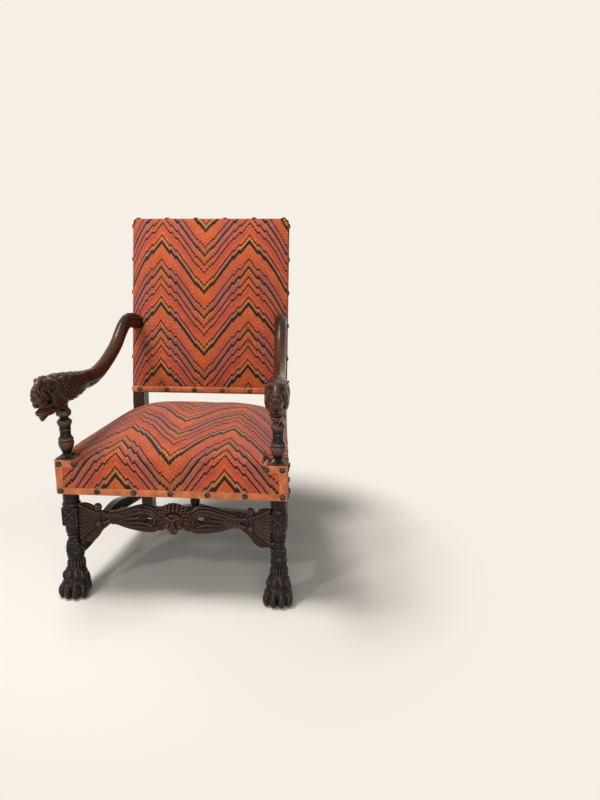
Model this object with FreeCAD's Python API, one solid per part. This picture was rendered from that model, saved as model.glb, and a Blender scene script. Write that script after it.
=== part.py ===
import FreeCAD
import Part
import math
import os

# A carved armchair: turned front legs with paw feet, raked back posts, arms that end in
# lion heads on turned supports, a carved front stretcher, an H of lower stretchers, a sprung
# and stuffed seat, and a stuffed back, all covered in cloth with a braid and dome nails.
# Millimetres. X runs to the sitter's left, -Y is the front, Z is up from the floor.
# While it is modelled, Y is zero at the middle of the front legs; the end of the file moves
# the whole chair so that its origin is the middle of its footprint.

Vector = FreeCAD.Vector

# Plan of the frame
leg_half_spacing = 323.0
post_half_spacing = 272.0
seat_depth = 523.0
overall_height = 1180.0

# Front leg, from the floor up
paw_height = 118.0
lower_block_height = 44.0
neck_height = 71.0
stretcher_block_height = 59.0
collar_height = 12.0
drum_height = 36.0
seat_block_height = 108.0
seat_block_side = 52.0
stretcher_block_side = 51.0
lower_block_side = 46.0
collar_radius = 26.0
drum_radius = 23.5
neck_radius = 23.5
paw_half_width = 40.0
paw_reach = 66.0
paw_heel = 30.0
toe_half_width = 11.5
toe_height = 41.0
toe_length = 58.0

# Back posts, each with its rear leg in one piece
post_width = 44.0
post_depth = 55.0
post_top_depth = 36.0
post_foot_depth = 42.0
post_foot_kick = 39.0
post_bend_height = 500.0
back_rake_deg = 10.3

# Seat frame
rail_thickness = 28.0
rail_top_drop = 4.0
rail_bottom_rise = 2.0
rear_rail_setback = 22.0
corner_block_reach = 62.0
corner_block_run = 70.0
corner_block_height = 56.0
corner_block_drop = 14.0

# Joints
tenon_thickness = 12.0
tenon_length = 22.0
tenon_shoulder = 8.0
joint_clearance = 0.15
peg_radius = 3.5
round_tenon_radius = 9.0
round_tenon_length = 20.0

# Arm supports
support_height = 162.0
support_radius = 23.5
support_tenon_radius = 10.0
support_tenon_length = 28.0
support_top_tenon_length = 20.0

# Arms with lion heads
arm_rise = 135.0
arm_head_height = 215.0
arm_half_width = 21.5
arm_half_height = 24.0
arm_rear_half_spacing = 276.0
arm_tenon_radius = 11.0
arm_tenon_length = 24.0
head_reach = 153.0
head_half_width = 40.0
head_half_height = 52.0
jaw_half_width = 25.0
jaw_half_height = 17.0
jaw_drop = 52.0

# Carved front stretcher
stretcher_depth = 30.0
bar_half_height = 25.0
scroll_half_height = 46.0
scroll_start = 58.0
scroll_end = 150.0
eye_half_length = 11.0
eye_half_height = 7.0
mask_half_width = 48.0
mask_half_height = 51.0
mask_half_depth = 27.0
knob_radius = 15.0
knob_place = 241.0
knob_spread = 31.0
fan_half_height = 48.0
fan_reach = 45.0

# Lower stretchers and the finial
side_stretcher_height = 40.0
side_stretcher_width = 28.0
side_stretcher_rise = 26.0
cross_stretcher_place = 262.0
cross_stretcher_height = 34.0
cross_stretcher_depth = 26.0
cross_stretcher_arch = 14.0
finial_height = 72.0
finial_radius = 17.0
finial_tenon_radius = 6.0
finial_tenon_length = 14.0

# Back frame
back_rail_thickness = 30.0
back_top_rail_height = 62.0
back_low_rail_height = 52.0
back_bottom = 538.0
back_top_drop = 5.6
arm_screw_radius = 3.0
arm_screw_head_radius = 6.5
arm_screw_head_height = 3.5

# Seat upholstery
cloth_thickness = 1.8
cloth_gap = 0.3
canvas_thickness = 1.4
webbing_width = 50.0
webbing_thickness = 1.5
webbing_gap = 0.2
webbing_inset = 6.0
dust_cover_thickness = 1.0
dust_cover_inset = 12.0
crown_height = 84.0
seat_edge_height = 16.0
notch_side = 60.0
spring_radius = 40.0
spring_wire_radius = 1.9
spring_turns = 4

# Back upholstery
back_crown = 22.0
back_edge_pad = 3.0
back_side_wrap = 30.0

# Trim
braid_width = 19.0
braid_thickness = 1.3
nail_radius = 7.0
nail_height = 4.6
nail_shank_radius = 1.0
nail_shank_length = 14.0
overrun = 20.0

# Heights worked out from the leg
neck_z = paw_height + lower_block_height
stretcher_block_z = neck_z + neck_height
collar_z = stretcher_block_z + stretcher_block_height
drum_z = collar_z + collar_height
seat_block_z = drum_z + drum_height
leg_top = seat_block_z + seat_block_height
rail_z = seat_block_z + rail_bottom_rise
rail_top = leg_top - rail_top_drop
rail_height = rail_top - rail_z
stretcher_z = stretcher_block_z + stretcher_block_height / 2
lower_z = paw_height + lower_block_height / 2
support_top = leg_top + support_height
arm_z = leg_top + arm_head_height
arm_rear_z = arm_z + arm_rise
half_block = seat_block_side / 2
rake = math.radians(back_rake_deg)
back_span = (overall_height - post_bend_height) / math.cos(rake)
post_inner = post_half_spacing - post_width / 2
post_outer = post_half_spacing + post_width / 2
side_outer_front = leg_half_spacing + half_block
cloth_outer = cloth_gap + cloth_thickness
braid_outer = cloth_outer + braid_thickness


def box(x0, x1, y0, y1, z0, z1):
    return Part.makeBox(x1 - x0, y1 - y0, z1 - z0, Vector(x0, y0, z0))


def polygon(points):
    return Part.Face(Part.makePolygon(points + points[:1]))


def plan_prism(points, z0, z1):
    return polygon([Vector(x, y, z0) for x, y in points]).extrude(Vector(0, 0, z1 - z0))


def side_prism(points, x0, x1):
    return polygon([Vector(x0, y, z) for y, z in points]).extrude(Vector(x1 - x0, 0, 0))


def front_prism(points, y0, y1):
    return polygon([Vector(x, y0, z) for x, z in points]).extrude(Vector(0, y1 - y0, 0))


def rod(radius, length, start, direction):
    return Part.makeCylinder(radius, length, start, direction)


def ellipsoid(centre, half_x, half_y, half_z):
    ball = Part.makeSphere(1.0)
    matrix = FreeCAD.Matrix()
    matrix.scale(half_x, half_y, half_z)
    ball = ball.transformGeometry(matrix)
    ball.translate(centre)
    return ball


def turned(radius, z0, height, shares, x=0.0, y=0.0):
    # Shares are (radius share, height share), or four numbers for an arc through its middle.
    def spot(r, z):
        return Vector(radius * r, 0, z0 + height * z)

    start = spot(shares[0][0], shares[0][1])
    edges = [Part.LineSegment(Vector(0, 0, start.z), start).toShape()]
    for share in shares[1:]:
        end = spot(share[-2], share[-1])
        if len(share) == 2:
            edges.append(Part.LineSegment(start, end).toShape())
        else:
            edges.append(Part.Arc(start, spot(share[0], share[1]), end).toShape())
        start = end
    edges.append(Part.LineSegment(start, Vector(0, 0, start.z)).toShape())
    edges.append(Part.LineSegment(Vector(0, 0, start.z), edges[0].Vertexes[0].Point).toShape())
    face = Part.Face(Part.Wire(edges))
    solid = face.revolve(Vector(0, 0, 0), Vector(0, 0, 1), 360)
    solid.translate(Vector(x, y, 0))
    return solid


def ellipse_wire(centre, along, half_wide, half_tall):
    # An ellipse square to the given direction, its tall axis as near upright as it can be.
    along = Vector(along).normalize()
    wide = Vector(0, 0, 1).cross(along)
    wide.normalize()
    tall = along.cross(wide)
    if half_tall >= half_wide:
        major, minor = tall * half_tall, wide * half_wide
    else:
        major, minor = wide * half_wide, tall * half_tall
    curve = Part.Ellipse(centre + major, centre + minor, centre)
    return Part.Wire(curve.toShape())


def loft(wires):
    return Part.makeLoft(wires, True, False)


def mirrored(shape):
    return shape.mirror(Vector(0, 0, 0), Vector(1, 0, 0))


def one(first, *others):
    return first.fuse(list(others)).removeSplitter()


def less(shape, *tools):
    return shape.cut(list(tools)) if tools else shape


def both_sides(name, shape, nodes):
    nodes[name + "_right"] = shape
    nodes[name + "_left"] = mirrored(shape)


# Places along the frame. The right-hand side is -X, and is mirrored for the left.
def rail_outer_x(y):
    share = (y - half_block) / (seat_depth - half_block)
    return side_outer_front + (post_outer - side_outer_front) * min(max(share, 0), 1)


def post_front_y(z):
    if z > post_bend_height:
        return seat_depth + (z - post_bend_height) * math.tan(rake)
    if z > seat_block_z:
        return seat_depth
    return seat_depth + post_foot_kick * (1 - z / seat_block_z)


def side_stretcher_x(y):
    start = lower_block_side / 2
    end = post_front_y(lower_z)
    return leg_half_spacing + (post_half_spacing - leg_half_spacing) * (y - start) / (end - start)


def back_point(depth, along):
    # Y and Z of a point given in the back's own frame: depth behind its face, height along it.
    y = seat_depth + depth * math.cos(rake) + along * math.sin(rake)
    z = post_bend_height - depth * math.sin(rake) + along * math.cos(rake)
    return (y, z)


def back_rear_depth(along):
    # Depth of the posts' rear face behind their front face, at a height along the back.
    bend_depth = post_depth * math.cos(rake)
    bend_along = post_depth * math.sin(rake)
    share = (along - bend_along) / (back_top_z - bend_along)
    return bend_depth + (post_top_depth - bend_depth) * share


def in_rake(shape):
    # Moves a shape from the back's own upright frame to its raked place.
    # In that frame Y is zero at the posts' front face and Z is zero at the bend.
    shape = shape.copy()
    shape.rotate(Vector(0, 0, 0), Vector(1, 0, 0), -back_rake_deg)
    shape.translate(Vector(0, seat_depth, post_bend_height))
    return shape


# Height along the back's own frame of a point on its front face at a real height.
def along_back(z):
    return (z - post_bend_height) / math.cos(rake)


# Front legs
neck_shares = [
    (0.98, 0.0), (1.02, 0.12, 0.93, 0.20), (0.93, 0.24), (0.99, 0.30, 0.88, 0.36),
    (0.88, 0.40), (0.80, 0.46), (0.80, 0.52), (0.94, 0.55), (0.94, 0.60), (0.86, 0.63),
    (1.03, 0.80, 0.90, 0.96), (0.90, 1.0),
]
collar_shares = [(0.90, 0.0), (0.90, 0.2), (1.0, 0.45, 0.94, 0.8), (0.88, 1.0)]
drum_shares = [(0.93, 0.0), (1.0, 0.5, 0.94, 0.96), (0.88, 1.0)]
toe_place_shares = [-0.74, -0.26, 0.26, 0.74]
toe_reach_shares = [0.90, 1.0, 1.0, 0.90]
paw_section_shares = [
    (0.0, 0.92, 0.80), (0.30, 0.90, 0.74), (0.55, 0.74, 0.60), (0.80, 0.60, 0.52), (1.0, 0.57, 0.50),
]


def paw():
    wires = []
    for height, wide, deep in paw_section_shares:
        middle = -(paw_reach - paw_heel) / 2 * (1 - height)
        half_deep = (paw_reach + paw_heel) / 2 * deep
        half_wide = paw_half_width * wide
        centre = Vector(0, middle, paw_height * height)
        long_way = Vector(0, half_deep, 0)
        short_way = Vector(half_wide, 0, 0)
        if half_deep < half_wide:
            long_way, short_way = short_way, long_way
        wires.append(Part.Wire(Part.Ellipse(centre + long_way, centre + short_way, centre).toShape()))
    toes = []
    for place, reach in zip(toe_place_shares, toe_reach_shares):
        centre = Vector(paw_half_width * place, -paw_reach * reach + toe_length / 2, toe_height / 2)
        toes.append(ellipsoid(centre, toe_half_width, toe_length / 2, toe_height * 0.6))
    ground = box(-paw_reach, paw_reach, -paw_reach * 2, paw_reach * 2, -paw_height, 0)
    return less(one(loft(wires), *toes), ground)


def side_tenon(grow):
    # The side rail's front tenon, in the seat block's back face.
    half = tenon_thickness / 2 + grow
    middle = -(side_outer_front - rail_thickness / 2)
    top = leg_top - support_tenon_length - tenon_shoulder
    return box(middle - half, middle + half, half_block - tenon_length - grow, half_block,
               rail_z + tenon_shoulder - grow, top + grow)


def front_tenon(grow):
    half = tenon_thickness / 2 + grow
    middle = -half_block + rail_thickness / 2
    start = -leg_half_spacing + half_block
    top = leg_top - support_tenon_length - tenon_shoulder
    return box(start - tenon_length - grow, start, middle - half, middle + half,
               rail_z + tenon_shoulder - grow, top + grow)


def stretcher_tenon(grow):
    half = tenon_thickness / 2 + grow
    start = -leg_half_spacing + stretcher_block_side / 2
    rise = stretcher_block_height / 2 - tenon_shoulder + grow
    return box(start - tenon_length - grow, start, -half, half, stretcher_z - rise, stretcher_z + rise)


def lower_front_tenon(grow):
    start = Vector(-leg_half_spacing, lower_block_side / 2, lower_z)
    return rod(round_tenon_radius + grow, round_tenon_length + grow, start, Vector(0, -1, 0))


def lower_rear_tenon(grow):
    start = Vector(-post_half_spacing, post_front_y(lower_z) - joint_clearance, lower_z)
    return rod(round_tenon_radius + grow, round_tenon_length + grow, start, Vector(0, 1, 0))


def support_tenon(grow):
    start = Vector(-leg_half_spacing, 0, leg_top)
    return rod(support_tenon_radius + grow, support_tenon_length + grow, start, Vector(0, 0, -1))


def front_leg():
    half_low = lower_block_side / 2
    half_mid = stretcher_block_side / 2
    shoulder = turned(half_low * math.sqrt(2), paw_height, lower_block_height,
                      [(1.0, -0.1), (1.0, 0.45), (0.95, 0.78, 0.70, 1.0)])
    pieces = [
        paw(),
        box(-half_low, half_low, -half_low, half_low, paw_height, neck_z).common(shoulder),
        turned(neck_radius, neck_z, neck_height, neck_shares),
        box(-half_mid, half_mid, -half_mid, half_mid, stretcher_block_z, collar_z),
        turned(collar_radius, collar_z, collar_height, collar_shares),
        turned(drum_radius, drum_z, drum_height, drum_shares),
        box(-half_block, half_block, -half_block, half_block, seat_block_z, leg_top),
    ]
    leg = one(*pieces)
    leg.translate(Vector(-leg_half_spacing, 0, 0))
    return less(leg, side_tenon(joint_clearance), front_tenon(joint_clearance),
                stretcher_tenon(joint_clearance), lower_front_tenon(joint_clearance),
                support_tenon(joint_clearance), *rail_pegs(joint_clearance))


# Pegs that lock the front and side rails' tenons in the seat blocks
def rail_pegs(grow):
    height = rail_z + rail_height / 3
    pegs = []
    for lift in (0, rail_height / 4):
        pegs.append(rod(peg_radius + grow, seat_block_side - tenon_shoulder,
                        Vector(-side_outer_front, half_block - tenon_length / 2, height + lift),
                        Vector(1, 0, 0)))
        pegs.append(rod(peg_radius + grow, half_block,
                        Vector(-leg_half_spacing + half_block - tenon_length / 2, -half_block,
                               height + lift + rail_height / 8),
                        Vector(0, 1, 0)))
    return pegs


# Back posts
def rear_side_tenon(grow):
    half = tenon_thickness / 2 + grow
    middle = -(post_outer - rail_thickness / 2)
    end = seat_depth + rear_rail_setback - joint_clearance + grow
    return box(middle - half, middle + half, seat_depth, end,
               rail_z + tenon_shoulder - grow, rail_top - tenon_shoulder + grow)


def rear_rail_tenon(grow):
    half = tenon_thickness / 2 + grow
    middle = seat_depth + rear_rail_setback + rail_thickness / 2
    return box(-post_inner - tenon_length - grow, -post_inner, middle - half, middle + half,
               rail_z + tenon_shoulder - grow, rail_top - tenon_shoulder + grow)


def back_rail_tenon(z0, height, grow):
    half = tenon_thickness / 2 + grow
    middle = back_rail_thickness / 2
    shape = box(-post_inner - tenon_length - grow, -post_inner, middle - half, middle + half,
                z0 + tenon_shoulder - grow, z0 + height - tenon_shoulder + grow)
    return in_rake(shape)


back_low_z = along_back(back_bottom)
back_top_z = back_span - back_top_drop
back_top_rail_z = back_top_z - back_top_rail_height
arm_joint_z = along_back(arm_rear_z)


def arm_tenon(grow):
    start = Vector(-arm_rear_half_spacing, 0, arm_joint_z)
    return in_rake(rod(arm_tenon_radius + grow, arm_tenon_length + grow, start, Vector(0, 1, 0)))


def back_post():
    points = [
        (post_front_y(0), 0),
        (seat_depth, seat_block_z),
        (seat_depth, post_bend_height),
        back_point(0, back_top_z),
        back_point(post_top_depth, back_top_z),
        (seat_depth + post_depth, post_bend_height),
        (seat_depth + post_depth, seat_block_z),
        (post_front_y(0) + post_foot_depth, 0),
    ]
    post = side_prism(points, -post_outer, -post_inner)
    screw = in_rake(rod(arm_screw_radius + joint_clearance, post_depth * 2,
                        Vector(-arm_rear_half_spacing, arm_tenon_length, arm_joint_z), Vector(0, 1, 0)))
    sink = in_rake(rod(arm_screw_head_radius + joint_clearance, post_depth,
                       Vector(-arm_rear_half_spacing, screw_seat_depth(), arm_joint_z), Vector(0, 1, 0)))
    return less(post, rear_side_tenon(joint_clearance), rear_rail_tenon(joint_clearance),
                back_rail_tenon(back_low_z, back_low_rail_height, joint_clearance),
                back_rail_tenon(back_top_rail_z, back_top_rail_height, joint_clearance),
                lower_rear_tenon(joint_clearance), arm_tenon(joint_clearance), screw, sink)


def screw_seat_depth():
    return back_rear_depth(arm_joint_z) - tenon_shoulder


def arm_screws():
    # A countersunk screw holds each arm's tenon from behind the post.
    start = arm_tenon_length / 2
    seat = screw_seat_depth()
    backwards = Vector(0, 1, 0)
    shank = rod(arm_screw_radius, seat - start, Vector(-arm_rear_half_spacing, start, arm_joint_z), backwards)
    head = rod(arm_screw_head_radius, arm_screw_head_height,
               Vector(-arm_rear_half_spacing, seat, arm_joint_z), backwards)
    screw = in_rake(one(shank, head))
    return [screw, mirrored(screw)]


# Seat rails
def side_rail():
    points = [
        (-side_outer_front, half_block),
        (-post_outer, seat_depth),
        (-post_outer + rail_thickness, seat_depth),
        (-side_outer_front + rail_thickness, half_block),
    ]
    rail = plan_prism(points, rail_z, rail_top)
    rail = one(rail, side_tenon(0), rear_side_tenon(0))
    return less(rail, *rail_pegs(joint_clearance))


def front_rail():
    half = leg_half_spacing - half_block
    rail = box(-half, half, -half_block, -half_block + rail_thickness, rail_z, rail_top)
    rail = one(rail, front_tenon(0), mirrored(front_tenon(0)))
    pegs = rail_pegs(joint_clearance)
    return less(rail, *pegs, *[mirrored(peg) for peg in pegs])


def rear_rail():
    front = seat_depth + rear_rail_setback
    rail = box(-post_inner, post_inner, front, front + rail_thickness, rail_z, rail_top)
    return one(rail, rear_rail_tenon(0), mirrored(rear_rail_tenon(0)))


def corner_blocks():
    top = rail_top - corner_block_drop
    bottom = top - corner_block_height
    rail_back = -half_block + rail_thickness + cloth_gap
    leg_inner = -leg_half_spacing + half_block + cloth_gap
    leg_back = half_block + cloth_gap
    run_y = leg_back + corner_block_run
    front = [
        (leg_inner, rail_back),
        (leg_inner + corner_block_reach, rail_back),
        (-rail_outer_x(run_y) + rail_thickness + cloth_gap, run_y),
        (-rail_outer_x(leg_back) + rail_thickness + cloth_gap, leg_back),
        (leg_inner, leg_back),
    ]
    rail_front = seat_depth + rear_rail_setback - cloth_gap
    post_side = -post_inner + cloth_gap
    post_front = seat_depth - cloth_gap
    run_back = post_front - corner_block_run
    rear = [
        (post_side, rail_front),
        (post_side + corner_block_reach, rail_front),
        (-rail_outer_x(run_back) + rail_thickness + cloth_gap, run_back),
        (-rail_outer_x(post_front) + rail_thickness + cloth_gap, post_front),
        (post_side, post_front),
    ]
    blocks = [plan_prism(front, bottom, top), plan_prism(rear, bottom, top)]
    return blocks + [mirrored(block) for block in blocks]


# Arm supports
support_shares = [
    (0.94, 0.0), (0.94, 0.040), (0.62, 0.060), (0.50, 0.075), (0.50, 0.10), (0.60, 0.115),
    (1.02, 0.25, 0.90, 0.355), (0.98, 0.365), (0.98, 0.395), (0.72, 0.415),
    (0.60, 0.52, 0.62, 0.62), (0.74, 0.635), (0.74, 0.650), (0.64, 0.66), (0.64, 0.675),
    (0.93, 0.695), (0.97, 0.72, 0.90, 0.745), (0.62, 0.765), (0.62, 0.785), (0.84, 0.80),
    (1.03, 0.86, 0.80, 0.925), (0.62, 0.94), (0.70, 0.965), (0.84, 1.0),
]


def arm_support():
    body = turned(support_radius, leg_top, support_height, support_shares, -leg_half_spacing, 0)
    top = rod(round_tenon_radius, support_top_tenon_length,
              Vector(-leg_half_spacing, 0, support_top), Vector(0, 0, 1))
    return one(body, support_tenon(0), top)


# Arms. The lion head's sections: share of the reach, then lift and height as shares of the
# head's half height, and width as a share of its half width.
head_section_shares = [
    (1.00, 0.22, 0.20, 0.25), (0.95, 0.28, 0.46, 0.52), (0.82, 0.28, 0.68, 0.68), (0.66, 0.28, 0.74, 0.76),
    (0.46, 0.18, 0.90, 0.93), (0.25, 0.10, 0.98, 1.00), (0.05, 0.01, 1.00, 1.00),
]
jaw_section_shares = [
    (0.18, -0.62, 1.00, 1.00), (0.46, -0.84, 0.95, 0.98), (0.70, -1.00, 1.00, 0.80),
    (0.86, -0.78, 0.45, 0.48),
]
mane_section_shares = [
    (0.06, 0.96, 0.88), (0.13, 0.84, 0.76), (0.20, 0.70, 0.62),
]
# The rest of the arm's line: shares of the run from the support to the post, and of the rise.
arm_line_shares = [
    (0.28, 0.03), (0.36, 0.06), (0.48, 0.20), (0.61, 0.47), (0.72, 0.78), (0.81, 0.985), (0.90, 1.06),
    (1.0, 1.0),
]


def arm_point(run, rise):
    end_y = post_front_y(arm_rear_z)
    x = leg_half_spacing + (arm_rear_half_spacing - leg_half_spacing) * run
    return Vector(-x, end_y * run, arm_z + arm_rise * rise)


def head_point(reach, lift):
    return arm_point(-reach / post_front_y(arm_rear_z), 0) + Vector(0, 0, lift)


def arm():
    forward = Vector(0, 1, 0)
    wires = []
    for reach, lift, tall, wide in head_section_shares:
        spot = head_point(head_reach * reach, head_half_height * lift)
        wires.append(ellipse_wire(spot, forward, head_half_width * wide, head_half_height * tall))
    for run, tall, wide in mane_section_shares:
        spot = arm_point(run, 0)
        wires.append(ellipse_wire(spot, forward, head_half_width * wide, head_half_height * tall))
    spots = [arm_point(run, rise) for run, rise in arm_line_shares]
    for index, spot in enumerate(spots):
        along = spots[min(index + 1, len(spots) - 1)] - spots[max(index - 1, 0)]
        if index == len(spots) - 1:
            along = Vector(0, math.cos(rake), -math.sin(rake))
        wires.append(ellipse_wire(spot, along, arm_half_width, arm_half_height))
    jaw = []
    for reach, drop, tall, wide in jaw_section_shares:
        spot = head_point(head_reach * reach, jaw_drop * drop)
        jaw.append(ellipse_wire(spot, forward, jaw_half_width * wide, jaw_half_height * tall))
    whole = one(loft(wires), loft(jaw), arm_tenon(0))
    hole = rod(round_tenon_radius + joint_clearance, support_top_tenon_length + joint_clearance,
               Vector(-leg_half_spacing, 0, support_top), Vector(0, 0, 1))
    flat = rod(support_radius, head_half_height, Vector(-leg_half_spacing, 0, support_top), Vector(0, 0, -1))
    screw = in_rake(rod(arm_screw_radius + joint_clearance, arm_tenon_length,
                        Vector(-arm_rear_half_spacing, arm_tenon_length / 2 - joint_clearance, arm_joint_z),
                        Vector(0, 1, 0)))
    return less(whole, hole, flat, screw)


# Front stretcher
bar_shares = [(0.0, 0.8), (0.50, 1.0), (0.62, 0.98), (0.80, 0.80), (1.0, 0.86)]


def arc_lens(x0, x1, half_height):
    middle = (x0 + x1) / 2
    ends = [Vector(x0, 0, 0), Vector(x1, 0, 0)]
    top = Part.Arc(ends[0], Vector(middle, 0, half_height), ends[1]).toShape()
    low = Part.Arc(ends[1], Vector(middle, 0, -half_height), ends[0]).toShape()
    return Part.Face(Part.Wire([top, low]))


def front_stretcher():
    half = leg_half_spacing - stretcher_block_side / 2
    deep = stretcher_depth / 2
    upper = [(half * x, bar_half_height * z) for x, z in bar_shares]
    outline = [(-x, z) for x, z in reversed(upper)] + upper
    outline = outline + [(x, -z) for x, z in reversed(outline)]
    pieces = [front_prism(outline, -deep, deep)]
    mask = ellipsoid(Vector(0, 0, 0), mask_half_width, mask_half_depth, mask_half_height)
    behind = box(-half, half, deep, mask_half_depth + overrun, -mask_half_height * 2, mask_half_height * 2)
    pieces.append(less(mask, behind))
    for side in (-1, 1):
        leaf = arc_lens(side * scroll_start * 0.55, side * scroll_end, scroll_half_height)
        leaf.translate(Vector(0, -deep, 0))
        pieces.append(leaf.extrude(Vector(0, stretcher_depth, 0)))
        for lift in (-1, 1):
            start = Vector(side * knob_place, -deep * 1.2, lift * knob_spread)
            pieces.append(rod(knob_radius, deep * 2.2, start, Vector(0, 1, 0)))
        fan = Part.Ellipse(Vector(side * half, 0, fan_half_height), Vector(side * (half - fan_reach), 0, 0),
                           Vector(side * half, 0, 0))
        fan = Part.Face(Part.Wire(fan.toShape()))
        fan.translate(Vector(0, -deep * 0.9, 0))
        fan = fan.extrude(Vector(0, deep * 1.8, 0))
        fan_end = leg_half_spacing - collar_radius - joint_clearance
        wall = box(fan_end, half * 2, -stretcher_depth, stretcher_depth,
                   -fan_half_height * 2, fan_half_height * 2)
        pieces.append(less(fan, wall if side > 0 else mirrored(wall)))
    whole = one(*pieces)
    eye_place = (scroll_start + scroll_end) / 2 - knob_radius
    eyes = []
    for side in (-1, 1):
        eye = Part.Ellipse(Vector(side * (eye_place + eye_half_length), 0, 0),
                           Vector(side * eye_place, 0, eye_half_height), Vector(side * eye_place, 0, 0))
        eye = Part.Face(Part.Wire(eye.toShape()))
        eye.translate(Vector(0, -stretcher_depth, 0))
        eyes.append(eye.extrude(Vector(0, stretcher_depth * 2, 0)))
    whole = less(whole, *eyes)
    whole.translate(Vector(0, 0, stretcher_z))
    return one(whole, stretcher_tenon(0), mirrored(stretcher_tenon(0)))


# Lower stretchers
side_wave_shares = [
    (0.0, 0.0), (0.10, -0.10), (0.24, 0.35), (0.38, 0.95), (0.48, 1.0), (0.60, 0.72), (0.76, 0.12),
    (0.88, -0.10), (1.0, 0.0),
]
side_height_shares = [1.0, 0.78, 0.72, 0.95, 1.15, 1.0, 0.78, 0.76, 1.0]


def smooth_edge(points):
    curve = Part.BSplineCurve()
    curve.interpolate(points)
    return curve.toShape()


def wave_plate(tops, bottoms):
    far = Part.LineSegment(tops[-1], bottoms[-1]).toShape()
    near = Part.LineSegment(bottoms[0], tops[0]).toShape()
    wire = Part.Wire([smooth_edge(tops), far, smooth_edge(bottoms[::-1]), near])
    return Part.Face(wire)


def side_stretcher():
    start = lower_block_side / 2
    end = post_front_y(lower_z) + overrun
    tops = []
    bottoms = []
    for (run, rise), tall in zip(side_wave_shares, side_height_shares):
        y = start + (end - start) * run
        x = -side_stretcher_x(y) - side_stretcher_width / 2
        middle = lower_z + side_stretcher_rise * rise
        tops.append(Vector(x, y, middle + side_stretcher_height / 2 * tall))
        bottoms.append(Vector(x, y, middle - side_stretcher_height / 2 * tall))
    plate = wave_plate(tops, bottoms).extrude(Vector(side_stretcher_width, 0, 0))
    z0 = lower_z - side_stretcher_height * 2
    behind = side_prism([
        (post_front_y(z0) - joint_clearance, z0),
        (post_front_y(z0) + post_depth * 2, z0),
        (post_front_y(z0) + post_depth * 2, seat_block_z),
        (seat_depth - joint_clearance, seat_block_z),
    ], -side_outer_front * 2, 0)
    plate = less(plate, behind)
    plate = one(plate, lower_front_tenon(0), lower_rear_tenon(0))
    return less(plate, cross_tenon(joint_clearance))


def cross_inner_x():
    return side_stretcher_x(cross_stretcher_place) - side_stretcher_width / 2


def cross_z():
    return lower_z + side_stretcher_rise


def cross_tenon(grow):
    start = Vector(-cross_inner_x() + overrun, cross_stretcher_place, cross_z())
    length = overrun + side_stretcher_width * 0.6 + grow
    return rod(round_tenon_radius + grow, length, start, Vector(-1, 0, 0))


cross_shares = [
    (-1.0, 0.0, 1.0), (-0.82, -0.15, 0.72), (-0.60, 0.30, 0.80), (-0.35, 0.75, 0.66), (-0.14, 1.0, 0.90),
    (0.0, 1.15, 1.2), (0.14, 1.0, 0.90), (0.35, 0.75, 0.66), (0.60, 0.30, 0.80), (0.82, -0.15, 0.72),
    (1.0, 0.0, 1.0),
]


def cross_stretcher():
    half = cross_inner_x() + joint_clearance * 2
    tops = []
    bottoms = []
    y = cross_stretcher_place - cross_stretcher_depth / 2
    for run, rise, tall in cross_shares:
        middle = cross_z() + (cross_stretcher_arch * rise - cross_stretcher_arch / 2)
        if abs(run) == 1.0:
            middle = cross_z()
        x = half * run
        tops.append(Vector(x, y, middle + cross_stretcher_height / 2 * tall))
        bottoms.append(Vector(x, y, middle - cross_stretcher_height / 2 * tall))
    plate = wave_plate(tops, bottoms).extrude(Vector(0, cross_stretcher_depth, 0))
    slant = []
    for edge in (y, y + cross_stretcher_depth):
        slant.append((-side_stretcher_x(edge) + side_stretcher_width / 2, edge))
    outer = slant[::-1] + [(-side_outer_front, slant[0][1]), (-side_outer_front, slant[1][1])]
    beyond = plan_prism(outer, 0, seat_block_z)
    plate = less(plate, beyond, mirrored(beyond))
    plate = one(plate, cross_tenon(0), mirrored(cross_tenon(0)))
    return less(plate, finial_tenon(joint_clearance))


def finial_z():
    return cross_z() + cross_stretcher_arch * 0.65 + cross_stretcher_height / 2 * 1.2


def finial_tenon(grow):
    start = Vector(0, cross_stretcher_place, finial_z())
    return rod(finial_tenon_radius + grow, finial_tenon_length + grow, start, Vector(0, 0, -1))


finial_shares = [
    (0.75, 0.0), (0.80, 0.08, 0.55, 0.14), (0.42, 0.22), (0.42, 0.30), (0.62, 0.34), (0.62, 0.39),
    (0.48, 0.43), (1.02, 0.60, 0.80, 0.76), (0.50, 0.82), (0.34, 0.86), (0.42, 0.93, 0.16, 1.0),
]


def finial():
    body = turned(finial_radius, finial_z(), finial_height, finial_shares, 0, cross_stretcher_place)
    return one(body, finial_tenon(0))


# Back frame rails
def back_rail(z0, height):
    rail = in_rake(box(-post_inner, post_inner, 0, back_rail_thickness, z0, z0 + height))
    tenon = back_rail_tenon(z0, height, 0)
    return one(rail, tenon, mirrored(tenon))


# Seat upholstery. Stations run from the front edge to the back posts.
station_shares = [0.0, 0.06, 0.14, 0.28, 0.45, 0.64, 0.83, 1.0]
crown_shares = [0.10, 0.38, 0.53, 0.71, 0.88, 1.0, 0.95, 0.60]
edge_shares = [0.06, 0.30, 0.60, 0.90, 1.0, 1.02, 1.0, 0.96]


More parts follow.
